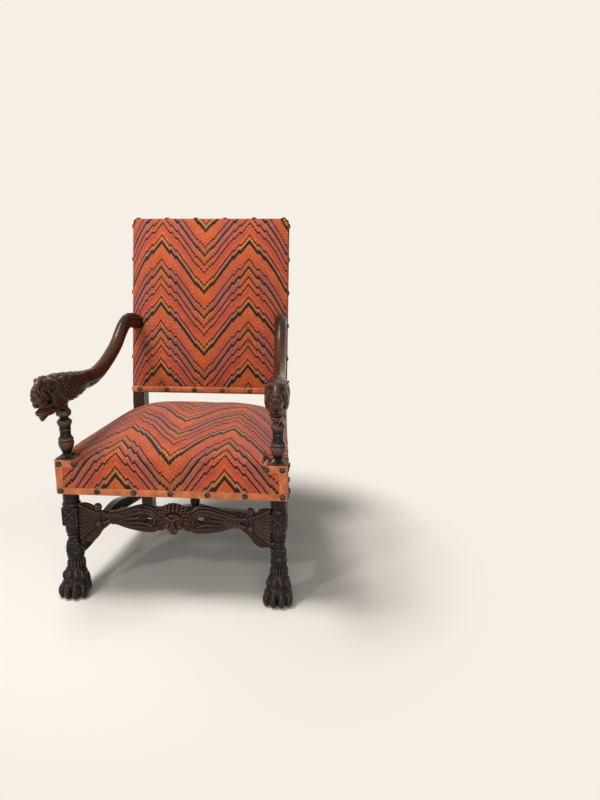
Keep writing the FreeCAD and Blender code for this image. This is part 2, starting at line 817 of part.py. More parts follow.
def crown(grow, base):
    # The stuffed seat above the rails, as sections square to Y; grow swells its skin.
    wires = []
    start = -half_block - grow
    rear = seat_depth - cloth_gap - cloth_outer + grow
    for station, middle_share, edge_share in zip(station_shares, crown_shares, edge_shares):
        y = start + (rear - start) * station
        half = rail_outer_x(y) + grow
        edge = leg_top + seat_edge_height * edge_share + grow
        middle = leg_top + crown_height * middle_share + grow
        left = Vector(-half, y, edge)
        right = Vector(half, y, edge)
        low_left = Vector(-half, y, base)
        low_right = Vector(half, y, base)
        wires.append(Part.Wire([
            Part.LineSegment(low_left, low_right).toShape(),
            Part.LineSegment(low_right, right).toShape(),
            Part.Arc(right, Vector(0, y, middle), left).toShape(),
            Part.LineSegment(left, low_left).toShape(),
        ]))
    return loft(wires)


def rear_tongue(grow, base):
    # The part of the seat that runs back between the posts to the rear rail.
    rail_back = seat_depth + rear_rail_setback + rail_thickness
    back = rail_back + grow
    half = post_inner - cloth_gap - cloth_outer + grow
    front = seat_depth - overrun
    high = leg_top + crown_height * 0.34 + grow
    low = leg_top + seat_edge_height * 0.35 + grow
    middle = ((front + back) / 2, (high + low) / 2 + cloth_thickness)
    points = [(front, base), (back, base), (back, low), middle, (front, high)]
    return side_prism(points, -half, half)


def skirt_points(grow):
    # Plan of the seat frame's outer face, from the front round to the posts.
    wide = side_outer_front + grow
    rear = post_outer + grow
    points = [(-wide, -half_block - grow), (wide, -half_block - grow), (wide, half_block)]
    points += [(rear, seat_depth - cloth_gap), (-rear, seat_depth - cloth_gap), (-wide, half_block)]
    return points


def corner_notches(shrink, base):
    # The clear space round each arm support, from the leg's top up.
    inner = side_outer_front - notch_side + shrink
    back = half_block + notch_side / 8 - shrink
    notch = box(-side_outer_front * 2, -inner, -seat_depth, back, base, leg_top + crown_height * 2)
    return [notch, mirrored(notch)]


def seat_stuffing():
    base = rail_top + canvas_thickness + cloth_gap * 2
    body = one(crown(0, base), rear_tongue(0, base))
    inner = leg_half_spacing - half_block - cloth_gap
    block = box(-side_outer_front * 2, -inner, -seat_depth, half_block + cloth_gap, 0, leg_top + overrun)
    return less(body, block, mirrored(block), *corner_notches(-cloth_outer, leg_top))


def seat_cover():
    base = rail_top + cloth_gap
    skirt = less(plan_prism(skirt_points(cloth_outer), seat_block_z, base),
                 plan_prism(skirt_points(cloth_gap), seat_block_z, base))
    rail_back = seat_depth + rear_rail_setback + rail_thickness
    half = post_inner - cloth_gap
    apron = box(-half, half, rail_back + cloth_gap, rail_back + cloth_outer, seat_block_z, base)
    solid = one(crown(cloth_outer, base), rear_tongue(cloth_outer, base))
    solid = less(solid, *corner_notches(0, leg_top + cloth_outer))
    hollow = less(crown(cloth_gap, base - overrun), *corner_notches(-cloth_thickness, leg_top + cloth_gap))
    hole = rod(support_radius + cloth_gap, overrun, Vector(-leg_half_spacing, 0, leg_top - overrun / 2),
               Vector(0, 0, 1))
    top = less(solid, hollow, rear_tongue(cloth_gap, base - overrun), hole, mirrored(hole))
    return one(top, skirt, apron)


def spring_canvas():
    # Tacked to the tops of the rails, it goes round the seat blocks and between the posts.
    inset = rail_thickness / 3
    block_side = leg_half_spacing - half_block - inset
    block_back = half_block + inset
    right = [
        (block_side, -half_block + inset),
        (block_side, block_back),
        (rail_outer_x(block_back) - inset, block_back),
        (post_outer - inset, seat_depth - cloth_gap - cloth_outer),
        (post_inner - cloth_gap - cloth_outer, seat_depth - cloth_gap - cloth_outer),
        (post_inner - cloth_gap - cloth_outer, seat_depth + rear_rail_setback + rail_thickness - inset),
    ]
    points = right + [(-x, y) for x, y in right[::-1]]
    return plan_prism(points, rail_top + cloth_gap, rail_top + cloth_gap + canvas_thickness)


# Places inside the seat frame: rows as shares of its depth, columns of its half width at the back.
spring_row_shares = [0.17, 0.46, 0.75]
spring_column_shares = [-0.58, 0.0, 0.58]
webbing_row_shares = [0.125, 0.36, 0.595, 0.83]
webbing_column_shares = [-0.69, -0.23, 0.23, 0.69]


def row_y(share):
    return half_block + (seat_depth - half_block) * share


def spring_centres():
    return [(post_inner * column, row_y(row)) for row in spring_row_shares for column in spring_column_shares]


def arc_from(start, corner, end):
    # The arc that leaves its start towards the corner and reaches its end from there.
    middle = (start + end) / 2
    toward = corner - middle
    half = (end - start).Length / 2
    bow = half * math.tan(math.atan2(toward.Length, half) / 2)
    return Part.Arc(start, middle + toward.normalize() * bow, end).toShape()


def biarc(start, leaving, end, arriving):
    span = end - start
    both = span.dot(leaving + arriving)
    spread = 2 * (1 - leaving.dot(arriving))
    reach = (math.sqrt(both * both + spread * span.dot(span)) - both) / spread
    first = start + leaving * reach
    second = end - arriving * reach
    middle = (first + second) / 2
    return [arc_from(start, first, middle), arc_from(middle, second, end)]


def coil(radius, height, turns, wire):
    # One open coil of round wire, standing on the origin; quarter turns keep it true.
    climb = height / (2 * math.pi * turns)
    steps = turns * 4
    spots = []
    for step in range(steps + 1):
        angle = math.pi / 2 * step
        around = Vector(math.cos(angle), math.sin(angle), 0)
        along = Vector(-radius * math.sin(angle), radius * math.cos(angle), climb).normalize()
        spots.append((around * radius + Vector(0, 0, climb * angle), along))
    edges = []
    for (start, leaving), (end, arriving) in zip(spots[:-1], spots[1:]):
        edges += biarc(start, leaving, end, arriving)
    circle = Part.Circle(spots[0][0], spots[0][1], wire)
    return Part.Wire(edges).makePipeShell([Part.Wire(circle.toShape())], True, False)


def seat_springs():
    low = rail_z + spring_wire_radius + webbing_gap
    high = rail_top + cloth_gap - spring_wire_radius - webbing_gap
    spring = coil(spring_radius, high - low, spring_turns, spring_wire_radius)
    springs = []
    for x, y in spring_centres():
        placed = spring.copy()
        placed.translate(Vector(x, y, low))
        springs.append(placed)
    return springs


def seat_webbing():
    strips = []
    front = -half_block + webbing_inset
    back = seat_depth + rear_rail_setback + rail_thickness - webbing_inset
    top = rail_z - webbing_gap
    half = webbing_width / 2
    for column in webbing_column_shares:
        x = post_inner * column
        strips.append(box(x - half, x + half, front, back, top - webbing_thickness, top))
    top = top - webbing_thickness - webbing_gap
    for row in webbing_row_shares:
        y = row_y(row)
        reach = rail_outer_x(y + half) - webbing_inset
        strips.append(box(-reach, reach, y - half, y + half, top - webbing_thickness, top))
    return strips


def dust_cover():
    top = rail_z - 2 * (webbing_thickness + webbing_gap) - webbing_gap
    leg_side = leg_half_spacing - half_block - dust_cover_inset / 4
    leg_back = half_block + dust_cover_inset / 2
    front = -half_block + dust_cover_inset
    rear = seat_depth - dust_cover_inset
    last = seat_depth + rear_rail_setback + rail_thickness - dust_cover_inset
    right = [
        (leg_side, front),
        (leg_side, leg_back),
        (rail_outer_x(leg_back) - dust_cover_inset, leg_back),
        (rail_outer_x(rear) - dust_cover_inset, rear),
        (post_inner - dust_cover_inset / 4, rear),
        (post_inner - dust_cover_inset / 4, last),
    ]
    points = right + [(-x, y) for x, y in right[::-1]]
    return plan_prism(points, top - dust_cover_thickness, top)


# Back upholstery, in the back's own frame: the front crown, then the cloth over it.
back_section_shares = [(0.0, 0.05), (0.12, 0.70), (0.35, 1.0), (0.62, 0.98), (0.88, 0.70), (1.0, 0.15)]


def back_crown_body(grow, depth):
    # Swells in front of the posts' face, which is zero; its flat back lies at the given depth.
    wires = []
    low = back_low_z
    high = back_top_z + grow
    half = post_outer + grow
    for share, swell in back_section_shares:
        z = low + (high - low) * share
        edge = -(back_edge_pad + grow)
        middle = -(back_edge_pad + (back_crown - back_edge_pad) * swell + grow)
        left = Vector(-half, edge, z)
        right = Vector(half, edge, z)
        back_left = Vector(-half, depth, z)
        back_right = Vector(half, depth, z)
        wires.append(Part.Wire([
            Part.LineSegment(back_left, back_right).toShape(),
            Part.LineSegment(back_right, right).toShape(),
            Part.Arc(right, Vector(0, middle, z), left).toShape(),
            Part.LineSegment(left, back_left).toShape(),
        ]))
    return loft(wires)


def arm_root(grow):
    # The space that an arm's end takes through the back's upholstery.
    start = Vector(-arm_rear_half_spacing, -back_crown * 2, arm_joint_z)
    return rod(arm_half_height + grow, back_crown * 4, start, Vector(0, 1, 0))


def back_canvas():
    inset = post_width / 3
    half = post_outer - inset
    canvas = box(-half, half, -cloth_gap - canvas_thickness, -cloth_gap,
                 back_low_z + inset, back_top_z - inset)
    canvas = less(canvas, arm_root(cloth_gap), mirrored(arm_root(cloth_gap)))
    return in_rake(canvas)


def back_stuffing():
    depth = -cloth_gap * 2 - canvas_thickness
    pad = less(back_crown_body(0, depth), arm_root(cloth_gap), mirrored(arm_root(cloth_gap)))
    return in_rake(pad)


def back_cover():
    wrap = back_side_wrap
    outer = back_crown_body(cloth_outer, wrap)
    half = post_outer + cloth_gap
    inner = one(back_crown_body(cloth_gap, cloth_gap),
                box(-half, half, -cloth_gap, wrap + overrun, back_low_z - overrun, back_top_z + cloth_gap))
    ends = box(-post_outer * 2, post_outer * 2, -back_crown * 3, wrap + overrun,
               back_low_z - overrun, back_low_z)
    shell = less(outer, inner, ends, arm_root(cloth_gap), mirrored(arm_root(cloth_gap)))
    return in_rake(shell)


def rear_panel(half, lift, thickness):
    # A flat strip on the posts' rear faces, which taper towards the top.
    points = []
    for along, depth in ((back_low_z, lift), (back_low_z, lift + thickness),
                         (back_top_z, lift + thickness), (back_top_z, lift)):
        points.append((back_rear_depth(along) + depth, along))
    return side_prism(points, -half, half)


def outside_back():
    return in_rake(rear_panel(post_outer, cloth_gap, cloth_thickness))


def back_webbing():
    strips = []
    half = webbing_width / 2
    low = back_low_z + back_low_rail_height / 2
    high = back_top_z - back_top_rail_height / 2
    behind = back_rail_thickness + cloth_gap
    for column in (-1, 0, 1):
        x = column * post_inner * 0.55
        strips.append(box(x - half, x + half, behind, behind + webbing_thickness, low, high))
    behind = behind + webbing_thickness + webbing_gap
    for row in (1, 2, 3):
        z = low + (high - low) * row / 4
        span = post_inner - cloth_gap
        strips.append(box(-span, span, behind, behind + webbing_thickness, z - half, z + half))
    return [in_rake(strip) for strip in strips]


# Trim
def seat_braid():
    front = -half_block - cloth_outer
    face = front - braid_thickness
    wide = side_outer_front + cloth_outer
    low = seat_block_z
    upper = low + braid_width
    top = leg_top + cloth_outer
    notch_inner = side_outer_front - notch_side
    notch_back = half_block + notch_side / 8
    side = -side_outer_front - cloth_outer
    rear = -post_outer - cloth_outer
    run = seat_depth - cloth_gap
    slab = [(side - braid_thickness, half_block), (rear - braid_thickness, run)]
    slab += [(rear, run), (side, half_block)]
    right = [
        box(-wide, -wide + braid_width, face, front, upper, top),
        box(-wide + braid_width, -notch_inner, face, front, top - braid_width, top),
        box(side - braid_thickness, side, face, half_block, low, upper),
        plan_prism(slab, low, upper),
        box(side - braid_thickness, side, face, face + braid_width, upper, top),
        box(-notch_inner - braid_thickness, -notch_inner, front, notch_back, top, top + braid_width),
        box(-wide, -notch_inner - braid_thickness, notch_back - braid_thickness, notch_back, top,
            top + seat_edge_height * edge_shares[1] / 2),
    ]
    back = seat_depth + rear_rail_setback + rail_thickness + cloth_outer
    half = post_inner - cloth_gap
    middle = [
        box(-wide, wide, face, front, low, upper),
        box(-half, half, back, back + braid_thickness, low, upper),
    ]
    return middle + right + [mirrored(strip) for strip in right]


def back_braid():
    half = post_outer + cloth_outer
    band = box(-half, half, -back_crown * 3, -cloth_outer, back_low_z, back_low_z + braid_width)
    strip = less(back_crown_body(braid_outer, 0).common(band), back_crown_body(cloth_outer, back_side_wrap))
    strips = [in_rake(strip)]
    for side in (-1, 1):
        edge = rear_panel(post_outer, cloth_outer, braid_thickness)
        keep = box(-post_outer, -post_outer + braid_width, 0, post_depth * 2, back_low_z, back_top_z)
        edge = edge.common(keep)
        strips.append(in_rake(edge if side < 0 else mirrored(edge)))
    return strips


def nail(spot, out):
    # A domed head with its shank behind it; out points away from the surface.
    out = Vector(out).normalize()
    curve = nail_radius * nail_radius / nail_height / 2 + nail_height / 2
    ball = Part.makeSphere(curve, Vector(0, 0, nail_height - curve))
    lid = box(-nail_radius * 2, nail_radius * 2, -nail_radius * 2, nail_radius * 2, 0, nail_height * 2)
    head = ball.common(lid)
    shank = rod(nail_shank_radius, nail_shank_length, Vector(0, 0, 0), Vector(0, 0, -1))
    whole = one(head, shank)
    turn = FreeCAD.Rotation(Vector(0, 0, 1), out)
    whole.Placement = FreeCAD.Placement(spot, turn)
    return whole


front_nail_count = 7
top_nail_count = 6
side_nail_count = 6
seat_side_nail_count = 6
rear_nail_count = 5


def seat_nails():
    face = -half_block - braid_outer
    line = seat_block_z + braid_width * 0.62
    reach = side_outer_front - nail_radius * 1.5
    nails = []
    for index in range(front_nail_count):
        x = -reach + 2 * reach * index / (front_nail_count - 1)
        nails.append(nail(Vector(x, face, line), Vector(0, -1, 0)))
    top_line = leg_top - braid_width * 0.55
    inner = side_outer_front - notch_side + braid_width * 0.1
    for side in (-1, 1):
        for x in (reach, inner):
            nails.append(nail(Vector(side * x, face, top_line), Vector(0, -1, 0)))
        out = Vector(side * seat_depth, side_outer_front - post_outer, 0)
        first = half_block
        for index in range(seat_side_nail_count):
            y = first + (seat_depth - first - braid_width) * index / (seat_side_nail_count - 1)
            way = out if index else Vector(side, 0, 0)
            nails.append(nail(Vector(side * (rail_outer_x(y) + braid_outer), y, line), way))
        corner = Vector(side * (side_outer_front + braid_outer), half_block - braid_width / 2, top_line)
        nails.append(nail(corner, Vector(side, 0, 0)))
    back = seat_depth + rear_rail_setback + rail_thickness + braid_outer
    for index in range(rear_nail_count):
        span = post_inner - braid_width
        x = -span + 2 * span * index / (rear_nail_count - 1)
        nails.append(nail(Vector(x, back, line), Vector(0, 1, 0)))
    return nails


def swell_at(lift):
    # Swell of the back's middle, as a share, a little above its lower edge.
    (start, low), (end, high) = back_section_shares[:2]
    return low + (high - low) * lift / (end * (back_top_z - back_low_z))


def back_nails():
    nails = []
    low = back_low_z + braid_width * 0.5
    reach = post_outer - nail_radius * 4
    bulge = back_crown - back_edge_pad
    for index in range(top_nail_count):
        share = 2 * index / (top_nail_count - 1) - 1
        swell = bulge * swell_at(braid_width / 2) * (1 - share * share)
        depth = -(back_edge_pad + braid_outer + swell)
        nails.append(nail(Vector(reach * share, depth, low), Vector(0, -1, 0)))
        top_reach = post_outer - nail_radius * 2
        nails.append(nail(Vector(top_reach * share, nail_radius, back_top_z + cloth_outer), Vector(0, 0, 1)))
    rise = back_top_z - nail_radius * 3
    for side in (-1, 1):
        for index in range(side_nail_count):
            z = low + (rise - low) * index / (side_nail_count - 1)
            spot = Vector(side * (post_outer + cloth_outer), nail_radius * 1.6, z)
            if abs(z - arm_joint_z) > arm_half_height + nail_radius:
                nails.append(nail(spot, Vector(side, 0, 0)))
    moved = []
    for one_nail in nails:
        placement = FreeCAD.Placement(Vector(0, seat_depth, post_bend_height),
                                      FreeCAD.Rotation(Vector(1, 0, 0), -back_rake_deg))
        one_nail.Placement = placement.multiply(one_nail.Placement)
        moved.append(one_nail)
    return moved


nailed = ["front_seat_rail", "rear_seat_rail", "side_seat_rail_left", "side_seat_rail_right",
          "front_leg_left", "front_leg_right", "back_post_left", "back_post_right", "back_top_rail",
          "back_lower_rail", "seat_cover", "back_cover", "seat_braid", "back_braid", "back_stuffing"]


def with_nail_holes(nodes):
    # Each nail sits in the hole that it made, so that no two solids share a space.
    nails = nodes["seat_nails"] + nodes["back_nails"]
    for name in nailed:
        shape = nodes[name]
        if isinstance(shape, list):
            nodes[name] = [less(piece, *nails) for piece in shape]
        else:
            nodes[name] = less(shape, *nails)


def build():
    nodes = {}
    both_sides("front_leg", front_leg(), nodes)
    both_sides("back_post", back_post(), nodes)
    both_sides("arm_support", arm_support(), nodes)
    both_sides("arm", arm(), nodes)
    both_sides("side_seat_rail", side_rail(), nodes)
    both_sides("side_stretcher", side_stretcher(), nodes)
    nodes["front_seat_rail"] = front_rail()
    nodes["rear_seat_rail"] = rear_rail()
    pegs = rail_pegs(0)
    nodes["rail_pegs"] = pegs + [mirrored(peg) for peg in pegs]
    nodes["corner_blocks"] = corner_blocks()
    nodes["front_stretcher"] = front_stretcher()
    nodes["cross_stretcher"] = cross_stretcher()
    nodes["stretcher_finial"] = finial()
    nodes["back_top_rail"] = back_rail(back_top_rail_z, back_top_rail_height)
    nodes["back_lower_rail"] = back_rail(back_low_z, back_low_rail_height)
    nodes["arm_screws"] = arm_screws()
    nodes["seat_webbing"] = seat_webbing()
    nodes["seat_springs"] = seat_springs()
    nodes["spring_canvas"] = spring_canvas()
    nodes["seat_stuffing"] = seat_stuffing()
    nodes["seat_cover"] = seat_cover()
    nodes["dust_cover"] = dust_cover()
    nodes["seat_braid"] = seat_braid()
    nodes["seat_nails"] = seat_nails()
    nodes["back_webbing"] = back_webbing()
    nodes["back_canvas"] = back_canvas()
    nodes["back_stuffing"] = back_stuffing()
    nodes["back_cover"] = back_cover()
    nodes["outside_back"] = outside_back()
    nodes["back_braid"] = back_braid()
    nodes["back_nails"] = back_nails()
    with_nail_holes(nodes)
    return nodes


def export(nodes):
    os.makedirs("parts", exist_ok=True)
    shapes = {}
    for name, shape in nodes.items():
        shapes[name] = Part.makeCompound(shape) if isinstance(shape, list) else shape
    low = min(shape.optimalBoundingBox().YMin for shape in shapes.values())
    high = max(shape.optimalBoundingBox().YMax for shape in shapes.values())
    for name, shape in shapes.items():
        shape.translate(Vector(0, -(low + high) / 2, 0))
        state = "valid" if shape.isValid() else "INVALID"
        print(name, len(shape.Solids), "solids", state, "volume %.0f" % shape.Volume)
        shape.exportStep("parts/%s.step" % name)
    print("depth", round(high - low, 1), "origin moved", round(-(low + high) / 2, 2))


export(build())
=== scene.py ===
import bmesh
import bpy
import numpy as np
from math import atan2, cos, pi, radians, sin
from mathutils import Matrix, Vector, noise


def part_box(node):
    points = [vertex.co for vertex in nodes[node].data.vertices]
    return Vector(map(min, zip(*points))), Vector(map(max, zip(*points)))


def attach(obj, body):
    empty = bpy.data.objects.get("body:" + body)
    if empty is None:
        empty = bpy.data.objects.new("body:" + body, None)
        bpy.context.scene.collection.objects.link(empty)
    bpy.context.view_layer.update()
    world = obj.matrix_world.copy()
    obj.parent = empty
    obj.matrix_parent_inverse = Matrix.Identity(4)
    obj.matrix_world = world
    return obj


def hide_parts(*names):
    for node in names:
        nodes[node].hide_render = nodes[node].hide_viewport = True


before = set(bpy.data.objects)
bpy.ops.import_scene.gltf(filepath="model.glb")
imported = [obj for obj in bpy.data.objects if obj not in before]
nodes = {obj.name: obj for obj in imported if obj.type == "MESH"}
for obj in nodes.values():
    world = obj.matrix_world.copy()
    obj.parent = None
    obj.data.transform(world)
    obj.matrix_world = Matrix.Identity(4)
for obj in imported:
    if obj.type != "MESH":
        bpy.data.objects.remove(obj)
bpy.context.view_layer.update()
scene = bpy.context.scene
scene.view_settings.view_transform = "Standard"

# Pieces are drawn in millimetres: y is zero at the arm supports, z at the floor
legY = sum(corner.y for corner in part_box("arm_support_right")) / 2
toFrame = Matrix.Translation((0, legY, 0)) @ Matrix.Scale(0.001, 4)
# The back's own frame: x across, y behind the posts' front face, z along the rake from the bend
rake = {"bendY": 523, "bendZ": 500, "lean": 10.3}
toBack = Matrix.Rotation(radians(-rake["lean"]), 4, "X")
toBack.translation = (0, rake["bendY"], rake["bendZ"])

# Where the photo was taken from: metres and radians, and the lens in millimetres
photoView = {"place": (0.51565, -2.01332, 1.06252), "turn": 0.0734, "dip": 0.23481, "roll": 0.00306,
             "lens": 28.008, "sensor": 36}


def setCamera():
    data = bpy.data.cameras.new("camera")
    data.lens = photoView["lens"]
    data.sensor_width = photoView["sensor"]
    camera = bpy.data.objects.new("camera", data)
    camera.matrix_world = (
        Matrix.Translation(photoView["place"])
        @ Matrix.Rotation(photoView["turn"], 4, "Z")
        @ Matrix.Rotation(pi / 2 - photoView["dip"], 4, "X")
        @ Matrix.Rotation(photoView["roll"], 4, "Z")
    )
    scene.collection.objects.link(camera)
    scene.camera = camera


def paint(code):
    # sRGB hex to the linear colour that a socket takes
    parts = [int(code[i:i + 2], 16) / 255 for i in (1, 3, 5)]
    return tuple(c / 12.92 if c <= 0.04045 else ((c + 0.055) / 1.055) ** 2.4 for c in parts) + (1.0,)


def addNode(tree, kind, settings=None, links=None):
    # settings and links go to a socket by its name or number, or to a property of the node
    made = tree.nodes.new("ShaderNode" + kind)
    for key, value in (settings or {}).items():
        if isinstance(key, int) or key in made.inputs:
            made.inputs[key].default_value = value
        else:
            setattr(made, key, value)
    for key, source in (links or {}).items():
        source, output = source if isinstance(source, tuple) else (source, 0)
        tree.links.new(source.outputs[output], made.inputs[key])
    return made


def fillRamp(ramp, stops):
    # stops is a list of (place, hex colour)
    elements = ramp.color_ramp.elements
    while len(elements) > 1:
        elements.remove(elements[-1])
    elements[0].position, elements[0].color = stops[0][0], paint(stops[0][1])
    for place, code in stops[1:]:
        elements.new(place).color = paint(code)
    return ramp


def newMaterial(name, **sockets):
    material = bpy.data.materials.new(name)
    material.use_nodes = True
    tree = material.node_tree
    shader = tree.nodes["Principled BSDF"]
    for key, value in sockets.items():
        shader.inputs[key.replace("_", " ")].default_value = value
    return material, tree, shader


def toMesh(bm, name):
    mesh = bpy.data.meshes.new(name)
    bm.to_mesh(mesh)
    bm.free()
    return mesh


studio = {
    "backdrop": "#F6EFE5", "floor": "#F6EFE5", "floorHalf": 14, "floorDrop": 0.0006,
    # The floor's shading fades into the plain backdrop between these distances from the chair's middle
    "fadeFrom": 0.62, "fadeTo": 1.05, "worldLight": 0.2, "worldTint": "#F6F5F4",
    # Place, size and power of each lamp, and the point that they all face
    "lamps": {"key": ((-0.9, -0.35, 3.2), 1.0, 76.0), "fill": ((0.6, -2.8, 1.0), 2.0, 30.0),
              "glint": ((-1.5, -2.2, 2.0), 0.22, 13.0)},
    "aim": (0, 0.1, 0.55),
}


def seenByEye(tree):
    # 1 for the rays that should meet the plain backdrop: the eye's, and those through gloss and glass
    rays = addNode(tree, "LightPath")
    some = addNode(tree, "Math", {"operation": "MAXIMUM"},
                   {0: (rays, "Is Camera Ray"), 1: (rays, "Is Glossy Ray")})
    return addNode(tree, "Math", {"operation": "MAXIMUM"}, {0: some, 1: (rays, "Is Transmission Ray")})


def setStudio():
    world = bpy.data.worlds.new("studio")
    scene.world = world
    world.use_nodes = True
    tree = world.node_tree
    tree.nodes.clear()
    light = addNode(tree, "Background",
                    {"Color": paint(studio["worldTint"]), "Strength": studio["worldLight"]})
    plain = addNode(tree, "Background", {"Color": paint(studio["backdrop"]), "Strength": 1.0})
    mixed = addNode(tree, "MixShader", {}, {0: seenByEye(tree), 1: light, 2: plain})
    addNode(tree, "OutputWorld", {}, {0: mixed})

    bm = bmesh.new()
    bmesh.ops.create_grid(bm, x_segments=1, y_segments=1, size=studio["floorHalf"])
    mesh = toMesh(bm, "floor")
    floor = bpy.data.objects.new("floor", mesh)
    floor.location = (0, 0, -studio["floorDrop"])
    scene.collection.objects.link(floor)
    material = bpy.data.materials.new("matt studio paper")
    material.use_nodes = True
    tree = material.node_tree
    tree.nodes.clear()
    paper = addNode(tree, "BsdfDiffuse", {"Color": paint(studio["floor"])})
    plain = addNode(tree, "Emission", {"Color": paint(studio["backdrop"]), "Strength": 1.0})
    place = addNode(tree, "TexCoord")
    reach = addNode(tree, "VectorMath", {"operation": "LENGTH"}, {0: (place, "Object")})
    fade = addNode(tree, "MapRange", {"From Min": studio["fadeFrom"], "From Max": studio["fadeTo"],
                                      "interpolation_type": "SMOOTHSTEP"}, {"Value": (reach, "Value")})
    share = addNode(tree, "Math", {"operation": "MULTIPLY"}, {0: (fade, "Result"), 1: seenByEye(tree)})
    mixed = addNode(tree, "MixShader", {}, {0: share, 1: paper, 2: plain})
    addNode(tree, "OutputMaterial", {}, {0: mixed})
    mesh.materials.append(material)

    for name, (place, size, power) in studio["lamps"].items():
        data = bpy.data.lights.new(name, "AREA")
        data.size = size
        data.energy = power
        lamp = bpy.data.objects.new(name, data)
        lamp.location = place
        lamp.rotation_euler = (Vector(studio["aim"]) - Vector(place)).to_track_quat("-Z", "Y").to_euler()
        scene.collection.objects.link(lamp)


setCamera()
setStudio()
print("camera and studio are set")

# Marks and tones of the dark oak
oak = {
    # Real sizes of the wood's marks in millimetres. The fine ones are too small to show and are drawn coarser
    "streakWidth": 0.9, "streakLength": 26, "streakWider": 4, "streakLonger": 3,
    "poreWidth": 0.45, "poreLength": 7, "poreCoarser": 2, "patch": 55, "toolMark": 3.5,
    # cavity is the hollows' dark stain and painted shade; worn is the raised edges' rubbed wear and painted
    # highlight
    "cavity": "#080505", "deep": "#0C0706", "body": "#190E0B", "top": "#2B1713", "worn": "#6A473D",
    "handled": "#552C16",
    # How strongly the carving's relief lightens the raised edges, as rubbed wear and as painted highlight,
    # and darkens the hollows, as dark stain and as painted shade
    "rubAndHighlight": 0.9, "rubAndHighlightFrom": -0.25, "sink": -1.9, "gloss": 0.18, "satin": 0.3,
}


def waxedOak(name, along):
    # Old oak, cut, stained nearly black and waxed: streaks and open pores run along the timber, hollows are
    # darkened with their dark stain and with painted shade, and raised edges are lightened to red brown, as
    # rubbing and as painted highlight, with a soft satin shine
    material, tree, shader = newMaterial(name, Roughness=0.28, IOR=1.5, Specular_IOR_Level=0.22)
    place = addNode(tree, "TexCoord")

    def grainNoise(across, length, detail):
        # One noise cell is that many millimetres across and along the grain
        scale = [1000 / across] * 3
        scale[along] = 1000 / length
        bent = addNode(tree, "Mapping", {"Scale": scale}, {"Vector": (place, "Object")})
        return addNode(tree, "TexNoise", {"Scale": 1.0, "Detail": detail, "Roughness": 0.6}, {"Vector": bent})

    streaks = grainNoise(oak["streakWidth"] * oak["streakWider"], oak["streakLength"] * oak["streakLonger"],
                         5)
    pores = grainNoise(oak["poreWidth"] * oak["poreCoarser"], oak["poreLength"] * oak["poreCoarser"], 2)
    patches = addNode(tree, "TexNoise", {"Scale": 1000 / oak["patch"], "Detail": 3.0},
                      {"Vector": (place, "Object")})
    marks = addNode(tree, "TexNoise", {"Scale": 1000 / oak["toolMark"], "Detail": 2.0},
                    {"Vector": (place, "Object")})
    relief = addNode(tree, "Attribute", {"attribute_name": "relief"})

    grain = fillRamp(addNode(tree, "ValToRGB", {}, {0: streaks}),
                     [(0.3, oak["deep"]), (0.52, oak["body"]), (0.75, oak["top"])])
    filled = addNode(tree, "MapRange", {"From Min": 0.36, "From Max": 0.46, "To Min": 0.55, "To Max": 1.0},
                     {"Value": pores})
    toned = addNode(tree, "Mix", {"data_type": "RGBA", "blend_type": "MULTIPLY", 0: 1.0},
                    {6: grain, 7: filled})
    # Raised places of the carving take the worn colour: rubbed wear and painted highlight
    rubbedAndHighlit = addNode(tree, "Math", {"operation": "MULTIPLY_ADD", 1: oak["rubAndHighlight"], 2: oak["rubAndHighlightFrom"]},
                     {0: (relief, "Fac")})
    uneven = addNode(tree, "MapRange", {"From Min": 0.3, "From Max": 0.62, "To Min": 0.35, "To Max": 1.3},
                     {"Value": patches})
    rubbedAndHighlit = addNode(tree, "Math", {"operation": "MULTIPLY", "use_clamp": True}, {0: rubbedAndHighlit, 1: uneven})
    # Hands have taken the stain off the arms down to the red brown of the wood
    hands = addNode(tree, "Attribute", {"attribute_name": "handled"})
    share = addNode(tree, "MapRange", {"From Min": 0.35, "From Max": 0.6, "To Min": 0.35, "To Max": 0.95},
                    {"Value": streaks})
    share = addNode(tree, "Math", {"operation": "MULTIPLY"}, {0: share, 1: (hands, "Fac")})
    handled = addNode(tree, "Mix", {"data_type": "RGBA", 7: paint(oak["handled"])}, {0: share, 6: (toned, 2)})
    raised = addNode(tree, "Mix", {"data_type": "RGBA", 7: paint(oak["worn"])}, {0: rubbedAndHighlit, 6: (handled, 2)})
    # Hollows take the cavity colour: dark stain and painted shade
    sunk = addNode(tree, "Math", {"operation": "MULTIPLY", 1: oak["sink"], "use_clamp": True},
                   {0: (relief, "Fac")})
    tone = addNode(tree, "Mix", {"data_type": "RGBA", 7: paint(oak["cavity"])}, {0: sunk, 6: (raised, 2)})
    tree.links.new(tone.outputs[2], shader.inputs["Base Color"])

    shine = addNode(tree, "MapRange", {"From Min": 0.3, "From Max": 0.7, "To Min": oak["gloss"],
                                       "To Max": oak["satin"]}, {"Value": patches})
    dull = addNode(tree, "Math", {"operation": "MULTIPLY_ADD", 1: 0.3}, {0: sunk, 2: shine})
    tree.links.new(dull.outputs[0], shader.inputs["Roughness"])
    poreBump = addNode(tree, "Bump", {"Strength": 0.5, "Distance": 0.0002}, {"Height": pores})
    markBump = addNode(tree, "Bump", {"Strength": 0.35, "Distance": 0.0006},
                       {"Height": marks, "Normal": poreBump})
    tree.links.new(markBump.outputs[0], shader.inputs["Normal"])
    return material


